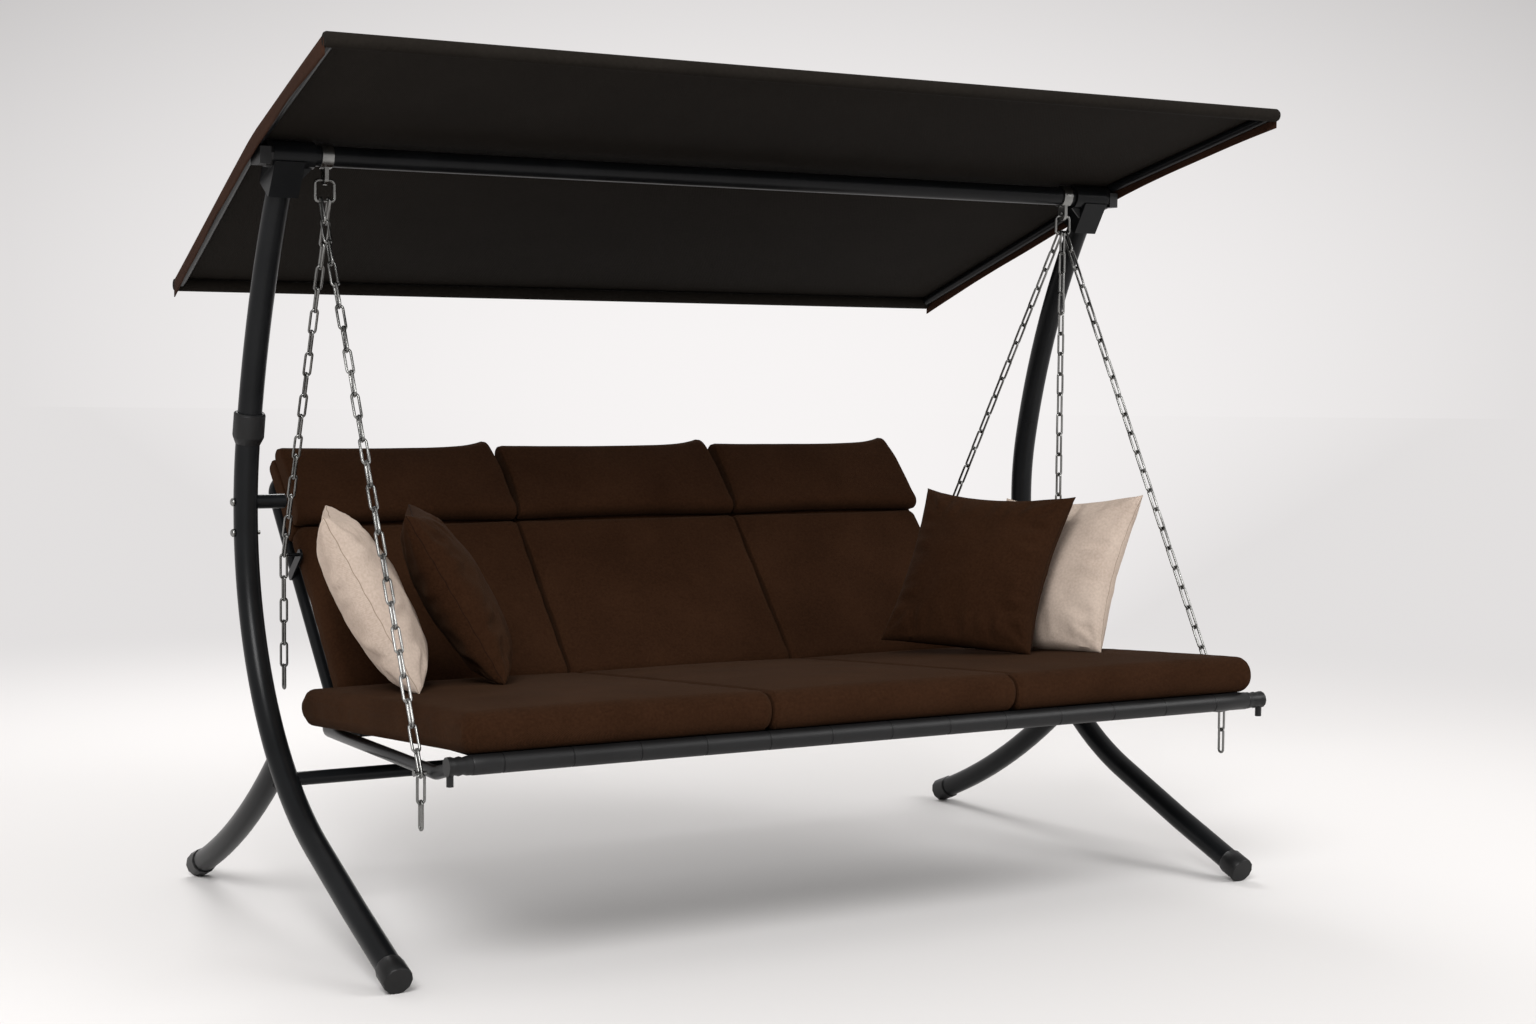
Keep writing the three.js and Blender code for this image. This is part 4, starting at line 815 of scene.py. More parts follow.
@dataclass
class Canopy:
    """The cloth roof and its rails, with the right end of each cross rail as seen from the beam."""

    lift: float = 0.022
    front: tuple[float, float, float] = (1.1, -0.52, lift + 0.52 * math.tan(math.radians(14.7)))
    rear: tuple[float, float, float] = (1.0, 0.70, lift - 0.70 * math.tan(math.radians(20.4)))
    ease: float = 0.05
    rail: float = 0.010
    rail_sides: int = 24
    rail_gap: float = 0.0003
    rail_bend: float = 0.15
    clamp_bevel: float = 0.002
    hem: float = 0.0145
    hem_overrun: float = 0.003
    hem_lip: float = 0.002
    sag: float = 0.007
    ripple: float = 0.0012
    edge_ripple: float = 0.0016
    valance: float = 0.038
    valance_out: float = 0.0008
    valance_wave: float = 0.0025
    cloth: float = 0.0022
    cloth_gap: float = 0.0005
    columns: int = 72
    rows: int = 48
    flap: int = 5
    beam: Beam = field(default_factory=Beam)

    @property
    def origin(self) -> Vector:
        """The middle of the beam."""
        return Vector((0, self.beam.y, self.beam.z))

    def half_width(self, y: float) -> float:
        """The rails' half width at a depth."""
        share = (y - self.front[1]) / (self.rear[1] - self.front[1])
        return self.front[0] + share * (self.rear[0] - self.front[0])

    def height(self, y: float) -> float:
        """The rails' height over the beam, with the bend eased on both sides of the beam.

        Args:
            y: The depth from the beam.

        Returns:
            The height.
        """
        front_slope = (self.lift - self.front[2]) / -self.front[1]
        rear_slope = (self.rear[2] - self.lift) / self.rear[1]
        if abs(y) >= self.ease:
            return self.lift + y * (front_slope if y < 0 else rear_slope)
        share = (y + self.ease) / (2 * self.ease)
        eased = front_slope * (share - share ** 2 / 2) + rear_slope * share ** 2 / 2
        return self.lift - self.ease * front_slope + 2 * self.ease * eased

    def slack(self, y: float) -> float:
        """How much the cloth may sag at a depth, from 0 at a rail to 1."""
        share = min(abs(y / (self.front[1] if y < 0 else self.rear[1])), 1.0)
        return 4 * share * (1 - share)

    def roof_point(self, a: float, y: float) -> Vector:
        """A point of the cloth's flat underside, with its sag and ripples.

        Args:
            a: From -1 to 1 across it.
            y: The depth from the beam.

        Returns:
            The point in the row frame.
        """
        slack = self.slack(y)
        x = a * (self.half_width(y) + self.rail + self.rail_gap)
        z = self.height(y) + self.rail + self.cloth_gap - slack * self.sag * (1 - a * a)
        z += self.ripple * noise.noise(Vector((x * 3.1, y * 2.3, 0.4))) * (1 - abs(a) ** 6) * slack
        swing = math.sin(x * 9 + 2 * noise.noise(Vector((x * 2, y * 2, 3))))
        z += self.edge_ripple * swing * slack * abs(a) ** 4
        return self.origin + Vector((x, y, z))

    def cloth_point(self, across: float, y: float) -> Vector:
        """A point of the whole cloth, with its turned-down side edges.

        Args:
            across: From -1 to 1 over its width.
            y: The depth from the beam.

        Returns:
            The point in the row frame.
        """
        column = across * self.columns / 2
        flat = self.columns / 2 - self.flap
        inner = column / flat
        place = self.roof_point(max(-1.0, min(1.0, inner)), y)
        drop = (abs(column) - flat) / self.flap
        if drop > 0:
            droop = self.valance - self.slack(y) * self.sag
            wave = self.valance_wave * math.sin(y * 21 + 1.3) * drop * self.slack(y)
            place += Vector((math.copysign(self.valance_out + wave * 0.6, inner), 0, -droop * drop))
        return place

    def roof(self) -> None:
        """Makes the cloth with its hems."""
        bm = bmesh.new()
        bmesh.ops.create_grid(bm, x_segments=self.columns, y_segments=self.rows, size=1.0)
        depth = self.rear[1] - self.front[1]
        for vert in bm.verts:
            vert.co = self.cloth_point(vert.co.x, self.front[1] + (vert.co.y + 1) / 2 * depth)
        roof = make_piece("canopy_roof_cloth", bm, Slot.CANOPY, Body.CANOPY, ("canopy_cloth",))
        roof.data.materials.append(FINISHES.canopy_edge)
        for face in roof.data.polygons:
            face.material_index = 1 if abs(face.normal.x) > 0.8 else 0
        thicken(roof, self.cloth, 1.0)
        hems = [self.hem_tube("front", self.front), self.hem_tube("rear", self.rear)]

    def hem_tube(self, word: str, corner: tuple[float, float, float]) -> bpy.types.Object:
        """Makes the cloth sleeve round one cross rail.

        Args:
            word: front or rear.
            corner: The rail's right end, from the beam.

        Returns:
            The sleeve.
        """
        half = corner[0] + self.rail + self.hem_overrun
        narrow, lip = self.hem - self.hem_lip, 2 * self.hem_lip
        sleeve = TubeBender(self.origin + Vector((-half, *corner[1:])), X_AXIS, narrow, self.rail_sides)
        sleeve.widen(self.hem, lip).straight((half - lip) * 2).widen(narrow, lip)
        return make_piece(f"canopy_{word}_hem", sleeve.finish(), Slot.CANOPY, Body.CANOPY)

    def rails(self) -> None:
        """Makes the cross rails, the side rails and the clamps."""
        for word, corner in (("front", self.front), ("rear", self.rear)):
            start = self.origin + Vector((-corner[0], *corner[1:]))
            tube = rod(start, X_AXIS, corner[0] * 2, self.rail, self.rail_sides)
            make_piece(f"canopy_{word}_tube", tube, Slot.PAINT, Body.CANOPY, (f"canopy_{word}_rail",))
        for side in Side:
            self.side_rail(side)
            dress_node(f"canopy_clamp_{side.word}", Slot.PLASTIC, self.clamp_bevel)

    def side_rail(self, side: Side) -> None:
        """Bends one side rail over the beam's end.

        Args:
            side: Which one.
        """
        bend = self.origin + at_side(side, (self.half_width(0), 0, self.lift))
        ends = [self.origin + at_side(side, corner) for corner in (self.front, self.rear)]
        first, last = (end - (end - bend).normalized() * self.hem for end in ends)
        tube = rounded_tube([first, bend, last], self.rail_bend, self.rail, 20)
        node = f"canopy_side_rail_{side.word}"
        make_piece(f"canopy_side_tube_{side.word}", tube, Slot.PAINT, Body.CANOPY, (node,))

    def build(self) -> None:
        """Makes the whole canopy."""
        self.roof()
        self.rails()


@dataclass
class ChainRun:
    """One chain: straight from its ring to a corner, and then hanging down."""

    name: str
    top: Vector
    corner: Vector
    links: int
    spare: int
    pitch: float = 0.048


@dataclass
class HangingGear:
    """The rings and chains, with their places for the right side."""

    wire: float = 0.0027
    width: float = 0.0194
    play: float = 0.0004
    hook_x: float = 0.920
    y: float = 0.0198 + SHIFT_Y
    ring_low: float = 1.4564
    ring_half: float = 0.020
    ring_height: float = 0.042
    ring_bend: float = 0.008
    ring_wire: float = 0.003
    pin_bevel: float = 0.001
    front_top: tuple[float, float, float] = (0.92794, 0.02148 + SHIFT_Y, 1.45958)
    front_corner: tuple[float, float, float] = (0.94833, -0.54287 + SHIFT_Y, 0.39077)
    rear_top: tuple[float, float, float] = (0.91220, 0.01805 + SHIFT_Y, 1.45954)
    rear_corner: tuple[float, float, float] = (0.864, 0.43008 + SHIFT_Y, 0.71921)
    loose_z: float = 1.4600

    def link(self, pitch: float) -> bpy.types.Mesh:
        """Makes one link, standing along Z with its flat side along X.

        Args:
            pitch: From one bearing point to the next.

        Returns:
            The mesh, to be copied.
        """
        bend = self.width / 2 - self.wire
        straight = pitch + 2 * self.wire - self.play - 2 * bend
        bender = TubeBender(Vector((bend, 0, -straight / 2)), Z_AXIS, self.wire, 10, False)
        for _ in range(2):
            bender.straight(straight).bend(bend, math.pi, -Y_AXIS, 8)
        return new_mesh("link", bender.close())

    def chain(self, run: ChainRun) -> None:
        """Joins a chain's links, each turned a quarter from the last.

        Args:
            run: The chain's line.
        """
        places = [run.top.lerp(run.corner, i / max(run.links, 1)) for i in range(run.links + 1)]
        for _ in range(run.spare):
            places.append(places[-1] - Z_AXIS * run.pitch)
        bm = bmesh.new()
        for i, (start, end) in enumerate(pairwise(places)):
            along = (end - start).normalized()
            sideways = X_AXIS.cross(along).normalized()
            wide = along.cross(sideways) if i % 2 else sideways
            mesh = self.link((end - start).length)
            turn = Matrix((wide, along.cross(wide), along)).transposed().to_4x4()
            mesh.transform(Matrix.Translation((start + end) / 2) @ turn)
            bm.from_mesh(mesh)
            bpy.data.meshes.remove(mesh)
        make_piece(f"{run.name}_links", bm, Slot.STEEL, Body.SWING, (run.name,))

    def ring(self, side: Side) -> None:
        """Bends one hanging ring with rounded corners.

        Args:
            side: Which one.
        """
        start = Vector((side.value * self.hook_x - self.ring_half, self.y, self.ring_low + self.ring_bend))
        bender = TubeBender(start, Z_AXIS, self.ring_wire, 16, False)
        for length in (self.ring_height, self.ring_half * 2) * 2:
            bender.straight(length - 2 * self.ring_bend).bend(self.ring_bend, math.pi / 2, Y_AXIS, 6)
        node = f"hanging_ring_{side.word}"
        make_piece(f"{node}_wire", bender.close(), Slot.STEEL, Body.SWING, (node,))

    def build(self) -> None:
        """Makes the rings and every chain."""
        for side in Side:
            self.ring(side)
            front = at_side(side, self.front_top), at_side(side, self.front_corner)
            self.chain(ChainRun(f"front_chain_{side.word}", *front, links=25, spare=2))
            rear = at_side(side, self.rear_top), at_side(side, self.rear_corner)
            self.chain(ChainRun(f"rear_chain_{side.word}", *rear, links=17, spare=6))
            dress_node(f"front_chain_pin_{side.word}", Slot.STEEL, self.pin_bevel)
        top = Vector((self.hook_x, self.y, self.loose_z))
        self.chain(ChainRun("loose_chain_right", top, top, links=0, spare=17))


@dataclass(frozen=True)
class Wrap:
    """A tube that a sheet runs onto and round: its centre, the sheet's radius, its turn and its hem."""

    centre: Vector
    radius: float
    hem: float
    turn: float = -math.radians(200)
    steps: int = 14

    def path(self, start: Vector) -> list[Vector]:
        """The line of a sheet from a point, round the tube and back along its hem.

        Args:
            start: Where the sheet leaves its other edge, in the same YZ plane.

        Returns:
            The points of the line.
        """
        away = self.centre - start
        lean = -math.copysign(math.asin(self.radius / away.length), self.turn)
        line = Matrix.Rotation(lean, 3, "X") @ away.normalized()
        spoke = start + line * math.sqrt(away.length ** 2 - self.radius ** 2) - self.centre
        points = [start]
        for i in range(self.steps + 1):
            points.append(self.centre + Matrix.Rotation(self.turn * i / self.steps, 3, "X") @ spoke)
        leaving = Matrix.Rotation(self.turn, 3, "X") @ line
        points.append(points[-1] + leaving * self.hem)
        return points


def stretched_sheet(
    name: str, path: list[Vector], halves: list[float], body: Body, node: str
) -> bpy.types.Object:
    """Makes a tight sheet of cloth that follows a line in the YZ plane.

    Args:
        name: The sheet's name.
        path: The line's points.
        halves: Half the sheet's width at each point.
        body: The body it rides on.
        node: The CAD node it replaces.

    Returns:
        The sheet, with its thickness as a modifier.
    """
    columns = 24
    bm = bmesh.new()
    bmesh.ops.create_grid(bm, x_segments=columns, y_segments=len(path) - 1, size=1.0)
    for vert in bm.verts:
        i = round((vert.co.y + 1) / 2 * (len(path) - 1))
        vert.co = path[i] + X_AXIS * (vert.co.x * halves[i])
    sheet = make_piece(name, bm, Slot.SLING, body, (node,))
    thicken(sheet, 0.0014, 0.0)
    return sheet


@dataclass(frozen=True)
class Tubing:
    """The tube that the seat's and the back's frames are made of, and their flat round ears."""

    radius: float = 0.0125
    sides: int = 28
    bend: float = 0.06
    ear_radius: float = 0.015
    ear_width: float = 0.007
    hinge_y: float = 0.255 + SHIFT_Y
    hinge_z: float = 0.405

    def run(self, points: list[Vector]) -> bmesh.types.BMesh:
        """A bent tube through corner points."""
        return rounded_tube(points, self.bend, self.radius, self.sides)

    def crossbar(self, start: Vector, length: float) -> bmesh.types.BMesh:
        """A straight tube along X from a point."""
        return rod(start, X_AXIS, length, self.radius, self.sides)

    def ear(self, x: float) -> bmesh.types.BMesh:
        """The flat round end on the hinge's axis, at an X."""
        start = Vector((x - self.ear_width / 2, self.hinge_y, self.hinge_z))
        return rod(start, X_AXIS, self.ear_width, self.ear_radius, 32)


@dataclass
class Seat:
    """The seat's frame, front tube and sling."""

    front_y: float = -0.665 + SHIFT_Y
    front_z: float = 0.425
    loop_radius: float = 0.018
    half_loop: float = 0.9047
    tube_bevel: float = 0.001
    fitting_bevel: float = 0.0015
    bolt_bevel: float = 0.001
    first_joint: float = -0.845
    joint_pitch: float = 0.138
    joints: int = 13
    sleeve_gap: float = 0.0004
    groove: float = 0.0015
    groove_lip: float = 0.0012
    shoulder: float = 0.0006
    end_rounding: float = 0.001
    rail_x: float = 0.925
    rail_front: tuple[float, float] = (0.014, -0.004)
    rail_corners: tuple[tuple[float, float, float], ...] = (
        (0.925, -0.560 + SHIFT_Y, 0.397), (0.850, 0.200 + SHIFT_Y, 0.367),
    )
    ear_x: float = 0.8223
    ear_cut: float = 0.012
    rear_half: float = 0.85
    rear_y: float = 0.150 + SHIFT_Y
    rear_z: float = 0.371
    sling_rear_half: float = 0.800
    sling_radius: float = 0.0140
    sling_sunk: float = 0.0012
    tubing: Tubing = Tubing()

    def sling(self, sleeves: list[bpy.types.Object]) -> None:
        """Stretches the sling from the front tube's top and round the rear tube.

        Args:
            sleeves: The front tube's sleeves; not used.
        """
        top = Vector((0, self.front_y, self.front_z + self.loop_radius - self.sling_sunk))
        path = Wrap(Vector((0, self.rear_y, self.rear_z)), self.sling_radius, 0.04).path(top)
        halves = [self.half_loop] + [self.sling_rear_half] * (len(path) - 1)
        sheet = stretched_sheet("seat_sling_cloth", path, halves, Body.SWING, "seat_sling")

    def rail(self, side: Side) -> bmesh.types.BMesh:
        """Bends one side rail of the seat.

        Args:
            side: Which one.

        Returns:
            The rail, from the front tube to the hinge's ear.
        """
        out, up = self.rail_front
        start = at_side(side, (self.rail_x, self.front_y + out, self.front_z + up))
        corners = [at_side(side, corner) for corner in self.rail_corners]
        tip = at_side(side, (self.ear_x, self.tubing.hinge_y, self.tubing.hinge_z))
        tip += (corners[-1] - tip).normalized() * self.ear_cut
        return self.tubing.run([start, *corners, tip])

    def build(self) -> None:
        """Makes the frame, the front tube and the sling."""
        bm = bmesh.new()
        for side in Side:
            add_mesh(bm, self.rail(side))
            add_mesh(bm, self.tubing.ear(side.value * self.ear_x))
        rear = Vector((-self.rear_half, self.rear_y, self.rear_z))
        add_mesh(bm, self.tubing.crossbar(rear, self.rear_half * 2))
        make_piece("seat_frame_tubes", bm, Slot.PAINT, Body.SWING, ("seat_frame",))
        dress_node("seat_front_tube", Slot.PAINT, self.tube_bevel)
        self.sling([self.front_sleeves()])
        for side in Side:
            dress_node(f"corner_fitting_{side.word}", Slot.PLASTIC, self.fitting_bevel)
            dress_node(f"hinge_bolt_{side.word}", Slot.STEEL, self.bolt_bevel)

    def front_sleeves(self) -> bpy.types.Object:
        """Makes the round sleeves along the front tube, with a groove at each joint.

        Returns:
            The sleeves.
        """
        lip, end = self.groove_lip, self.groove
        wide, neck = self.loop_radius + self.sleeve_gap, self.loop_radius - self.groove
        shoulder, end_radius = wide - self.shoulder, wide - self.end_rounding
        tube = TubeBender(Vector((-self.half_loop, self.front_y, self.front_z)), X_AXIS, end_radius, 36)
        tube.widen(wide, end)
        for i in range(self.joints):
            joint = self.first_joint + i * self.joint_pitch
            tube.straight(joint - lip * 1.6 - tube.place.x)
            tube.widen(shoulder, lip * 0.6).widen(neck, lip).widen(shoulder, lip).widen(wide, lip * 0.6)
        tube.straight(self.half_loop - end - tube.place.x).widen(end_radius, end)
        return make_piece("front_tube_sleeves", tube.finish(), Slot.PLASTIC, Body.SWING)


@dataclass
class Back:
    """The reclining back's frame and sling, in its own slope from the hinge."""

    slope: float = math.radians(49)
    half: float = 0.815
    length: float = 0.628
    foot: float = 0.010
    lower_rail: float = 0.070
    catch_along: float = 0.352
    catch_size: tuple[float, float, float] = (0.005, 0.022, 0.096)
    catch_rounding: float = 0.008
    catch_out: tuple[float, float] = (0.0125, 0.037)
    pin_out: tuple[float, float] = (0.012, 0.074)
    pin_radius: float = 0.004
    pin_length: float = 0.0284
    sling_inset: float = 0.06
    sling_radius: float = 0.0142
    tubing: Tubing = Tubing()

    @property
    def place(self) -> Matrix:
        """From the back's own slope to the row frame."""
        hinge = Matrix.Translation((0, self.tubing.hinge_y, self.tubing.hinge_z))
        return hinge @ Matrix.Rotation(self.slope, 4, "X")

    def build(self) -> None:
        """Makes the frame's tubes and the sling."""
        low, high, half = self.foot, self.length, self.half
        corners = ((-half, low), (-half, high), (half, high), (half, low))
        bm = self.tubing.run([self.place @ Vector((x, along, 0)) for x, along in corners])
        add_mesh(bm, self.tubing.crossbar(self.place @ Vector((-half, self.lower_rail, 0)), half * 2))
        for side in Side:
            add_mesh(bm, self.tubing.ear(side.value * self.half))
            add_mesh(bm, self.catch(side))
            out, up = self.pin_out
            pin = self.place @ at_side(side, (self.half + out, self.catch_along, up))
            add_mesh(bm, rod(pin, X_AXIS * side.value, self.pin_length, self.pin_radius, 16))
        make_piece("back_frame_tubes", bm, Slot.PAINT, Body.BACK, ("back_frame",))
        self.sling()

    def catch(self, side: Side) -> bmesh.types.BMesh:
        """Makes the strap that carries the rear chain's pin, with rounded ends.

        Args:
            side: Which one.

        Returns:
            The strap.
        """
        strap = bmesh.new()
        bmesh.ops.create_cube(strap, size=1.0, matrix=Matrix.Diagonal((*self.catch_size, 1)))
        edges = [e for e in strap.edges if abs((e.verts[0].co - e.verts[1].co).x) > self.catch_size[0] / 2]
        bmesh.ops.bevel(
            strap, geom=edges, offset=self.catch_rounding, affect="EDGES", segments=4, profile=0.5,
            material=-1,
        )
        out, up = self.catch_out
        middle = Matrix.Translation(at_side(side, (self.half + out, self.catch_along, up)))
        bmesh.ops.transform(strap, matrix=self.place @ middle, verts=strap.verts)
        return strap

    def sling(self) -> None:
        """Stretches the back's sling from its lower rail round its top rail."""
        half = self.half - self.sling_inset
        wrap = Wrap(Vector((0, self.length, 0)), self.sling_radius, 0.03)
        path = [self.place @ p for p in wrap.path(Vector((0, self.lower_rail, self.sling_radius)))]
        sheet = stretched_sheet("back_sling_cloth", path, [half] * len(path), Body.BACK, "back_sling")


@dataclass(frozen=True)
class PadShape:
    """A boxed pad's sizes on its slope, its rounding and fullness, and how finely it is cut."""

    length: float
    thick: float
    start: tuple[float, float]
    cuts: tuple[int, int, int]
    rounding: float
    crown: float
    seed: float
    draw_in: float = 0.003
    end_rounding: float = 0.008
    outer_rounding: float = 0.0
    seam: float = 0.0016
    raised_corner: float = 0.0
    draw_side: float = 0.0


@dataclass(frozen=True)
class SoftBox:
    """One pad with bullnose edges and boxed ends; outer says which end is at the row's end, if any."""

    shape: PadShape
    width: float
    outer: int
    seed: float
    seam_depths: tuple[float, float] = (0.0028, 0.008)
    ripple: float = 0.0025
    fold: float = 0.0009
    ruck: float = 0.0014

    @property
    def half(self) -> Vector:
        """Half its width, length and thickness."""
        return Vector((self.width / 2, self.shape.length / 2, self.shape.thick / 2))

    def mesh(self, place: Matrix) -> bmesh.types.BMesh:
        """Makes the pad from a cube.

        Args:
            place: From its own place, with Y and Z from 0 and X centred, to the row frame.

        Returns:
            The mesh in the row frame.
        """
        bm = bmesh.new()
        bmesh.ops.create_cube(bm, size=2.0)
        cuts = self.shape.cuts
        for axis, cells in enumerate(cuts):
            run = [e for e in bm.edges if abs((e.verts[0].co - e.verts[1].co)[axis]) > 1e-6]
            bmesh.ops.subdivide_edges(bm, edges=run, cuts=cells - 1, use_grid_fill=True)
        half = self.half
        corner = Vector((0, half.y, half.z))
        for vert in bm.verts:
            a, b = crowded(vert.co.x, cuts[0]), crowded(vert.co.y, cuts[1])
            y, z = self.rounded(b * half.y, vert.co.z * half.z)
            inset = self.end_inset(a)
            y -= y / half.y * inset
            z -= z / half.z * inset
            vert.co = place @ (self.puckered(Vector((a * half.x, y, z))) + corner)
        bmesh.ops.recalc_face_normals(bm, faces=bm.faces)
        return bm

    def rounded(self, y: float, z: float) -> tuple[float, float]:
        """Rounds the corners of the cross-section, keeping what lies inside it inside.

        Args:
            y: A point's Y in the square section.
            z: Its Z.

        Returns:
            The point's new Y and Z.
        """
        radius, half = self.shape.rounding, self.half
        core_y = max(radius - half.y, min(half.y - radius, y))
        core_z = max(radius - half.z, min(half.z - radius, z))
        rest = Vector((y - core_y, z - core_z))
        if rest.length > 1e-9:
            rest *= max(abs(rest.x), abs(rest.y)) / rest.length
        return core_y + rest.x, core_z + rest.y

    def end_inset(self, a: float) -> float:
        """How far the cross-section draws in near an end, with a groove for the seam.

        Args:
            a: From -1 to 1 along the width.

        Returns:
            The inset.
        """
        depth = self.half.x * (1 - abs(a))
        rounding = self.shape.outer_rounding if a * self.outer > 0 else self.shape.end_rounding
        share = max(0.0, 1 - depth / rounding)
        inset = rounding * (1 - math.sqrt(max(0.0, 1 - share * share)))
        first, last = self.seam_depths
        return inset + (self.shape.seam if first < depth < last else 0.0)

    def puckered(self, q: Vector) -> Vector:
        """Gives a point its crown, drawn-in sides, small folds and raised corner.

        Args:
            q: The point, from the pad's middle.

        Returns:
            Its new place.
        """
        shape, seed, half = self.shape, self.seed, self.half
        a, b = q.x / half.x, q.y / half.y
        fall = max(0.0, 1 - a * a) ** 0.7 * max(0.0, 1 - b * b) ** 0.7
        level = (q.z / half.z + 1) / 2
        edge = max(abs(a), abs(b)) ** 8
        ripple = noise.noise(Vector((q.x * 9 + seed, q.y * 9, 2.0 + seed)))
        fold = noise.noise(Vector((q.x * 26 + seed, q.y * 26, q.z * 24)))
        lift = shape.crown * fall * level + (self.ripple * ripple * fall + self.fold * fold * edge) * level
        side = math.copysign(shape.draw_in * (1 - b * b), a) * abs(a) ** 3
        end = math.copysign(shape.draw_in * (1 - a * a), b) * abs(b) ** 3
        top = max(0.0, b) ** 2
        side += shape.draw_side * top * max(0.0, a) ** 2
        corner = shape.raised_corner * top * max(0.0, a) ** 5
        ruck = self.ruck * fold * edge
        return q + Vector((ruck - side if abs(a) > abs(b) else -side, corner - end, lift))


def crowded(value: float, cells: int) -> float:
    """Moves even rows from -1 to 1 closer to the ends, where a finely cut pad is rounded."""
    power = 1.0 if cells < 12 else 1.6
    return math.copysign(1 - (1 - abs(value)) ** power, value) if value else 0.0


@dataclass
class Upholstery:
    """The seat pads, back pads and headrests."""

    joint: float = 0.287
    gap: float = 0.002
    seat_fill: float = 0.85
    back_fill: float = 0.8
    seat_half: float = 0.920
    back_half: float = 0.820
    seat_front: tuple[float, float] = (-0.665 + SHIFT_Y, 0.443)
    seat_slope: float = math.atan2(0.443 - 0.386, 0.815)
    seat_pad: PadShape = PadShape(
        0.868, 0.076, (-0.020, 0.0003), (52, 72, 14), 0.036, 0.010, 0.0,
        draw_in=0.004, end_rounding=0.010, outer_rounding=0.024,
    )
    lower_pad: PadShape = PadShape(
        0.440, 0.064, (-0.005, 0.0153), (44, 44, 12), 0.024, 0.004, 1.0, outer_rounding=0.024,
    )
    upper_pad: PadShape = PadShape(
        0.212, 0.041, (0.425, 0.0153), (44, 20, 8), 0.012, 0.0, 2.0,
        end_rounding=0.006, seam=0.0, draw_side=0.014,
    )
    headrest: PadShape = PadShape(
        0.205, 0.046, (0.4325, 0.0571), (44, 26, 12), 0.020, 0.009, 3.0,
        draw_in=0.006, end_rounding=0.007, seam=0.0012, raised_corner=0.018, draw_side=0.024,
    )
    back: Back = field(default_factory=Back)

    def row(self, place: Place, half: float) -> tuple[float, float]:
        """A pad's place in its row.

        Args:
            place: Which seat.
            half: Half the row's width.

        Returns:
            Its width and its middle.
        """
        if place is Place.CENTRE:
            return 2 * (self.joint - self.gap), 0.0
        start = self.joint + self.gap
        return half - start, place.value * (half + start) / 2

    def layer(self, shape: PadShape, place: Place, half: float, slope: Matrix) -> bmesh.types.BMesh:
        """Makes one layer of a pad.

        Args:
            shape: The layer's shape.
            place: Which seat.
            half: Half the row's width.
            slope: From the row's slope to the row frame.

        Returns:
            The mesh in the row frame.
        """
        width, x = self.row(place, half)
        outer = place.value if shape.outer_rounding else 0
        box = SoftBox(shape, width, outer, 3.7 * (place.value + 2) + shape.seed)
        return box.mesh(slope @ Matrix.Translation((x, *shape.start)))

    def build(self) -> None:
        """Makes the nine pads."""
        seat = Matrix.Translation((0, *self.seat_front)) @ Matrix.Rotation(-self.seat_slope, 4, "X")
        back = self.back.place
        for place in Place:
            bottom = self.layer(self.seat_pad, place, self.seat_half, seat)
            self.pad(f"seat_pad_{place.word}", bottom)
            bm = self.layer(self.lower_pad, place, self.back_half, back)
            add_mesh(bm, self.layer(self.upper_pad, place, self.back_half, back))
            self.pad(f"back_pad_{place.word}", bm)
            rest = self.layer(self.headrest, place, self.back_half, back)
            self.pad(f"headrest_{place.word}", rest)

    def pad(self, node: str, bm: bmesh.types.BMesh) -> None:
        """Finishes the pad that stands for a node."""
        make_piece(f"{node}_cover", bm, Slot.BROWN, body_of_node(node), (node,))


@dataclass(frozen=True)
class Cushion:
    """A loose cushion's name, finish and pose, with its angles in degrees."""

    name: str
    slot: Slot
    at: tuple[float, float, float]
    turn: float
    lean: float
    roll: float
    seed: float

    @property
    def pose(self) -> Matrix:
        """From the cushion's own flat place to the row frame.

        Returns:
            The turn, the lean back and the roll, at its middle.
        """
        turn = Matrix.Rotation(math.radians(self.turn), 4, "Z")
        lean = Matrix.Rotation(math.radians(90 - self.lean), 4, "X")
        roll = Matrix.Rotation(math.radians(self.roll), 4, "Z")
        return Matrix.Translation(self.at) @ turn @ lean @ roll


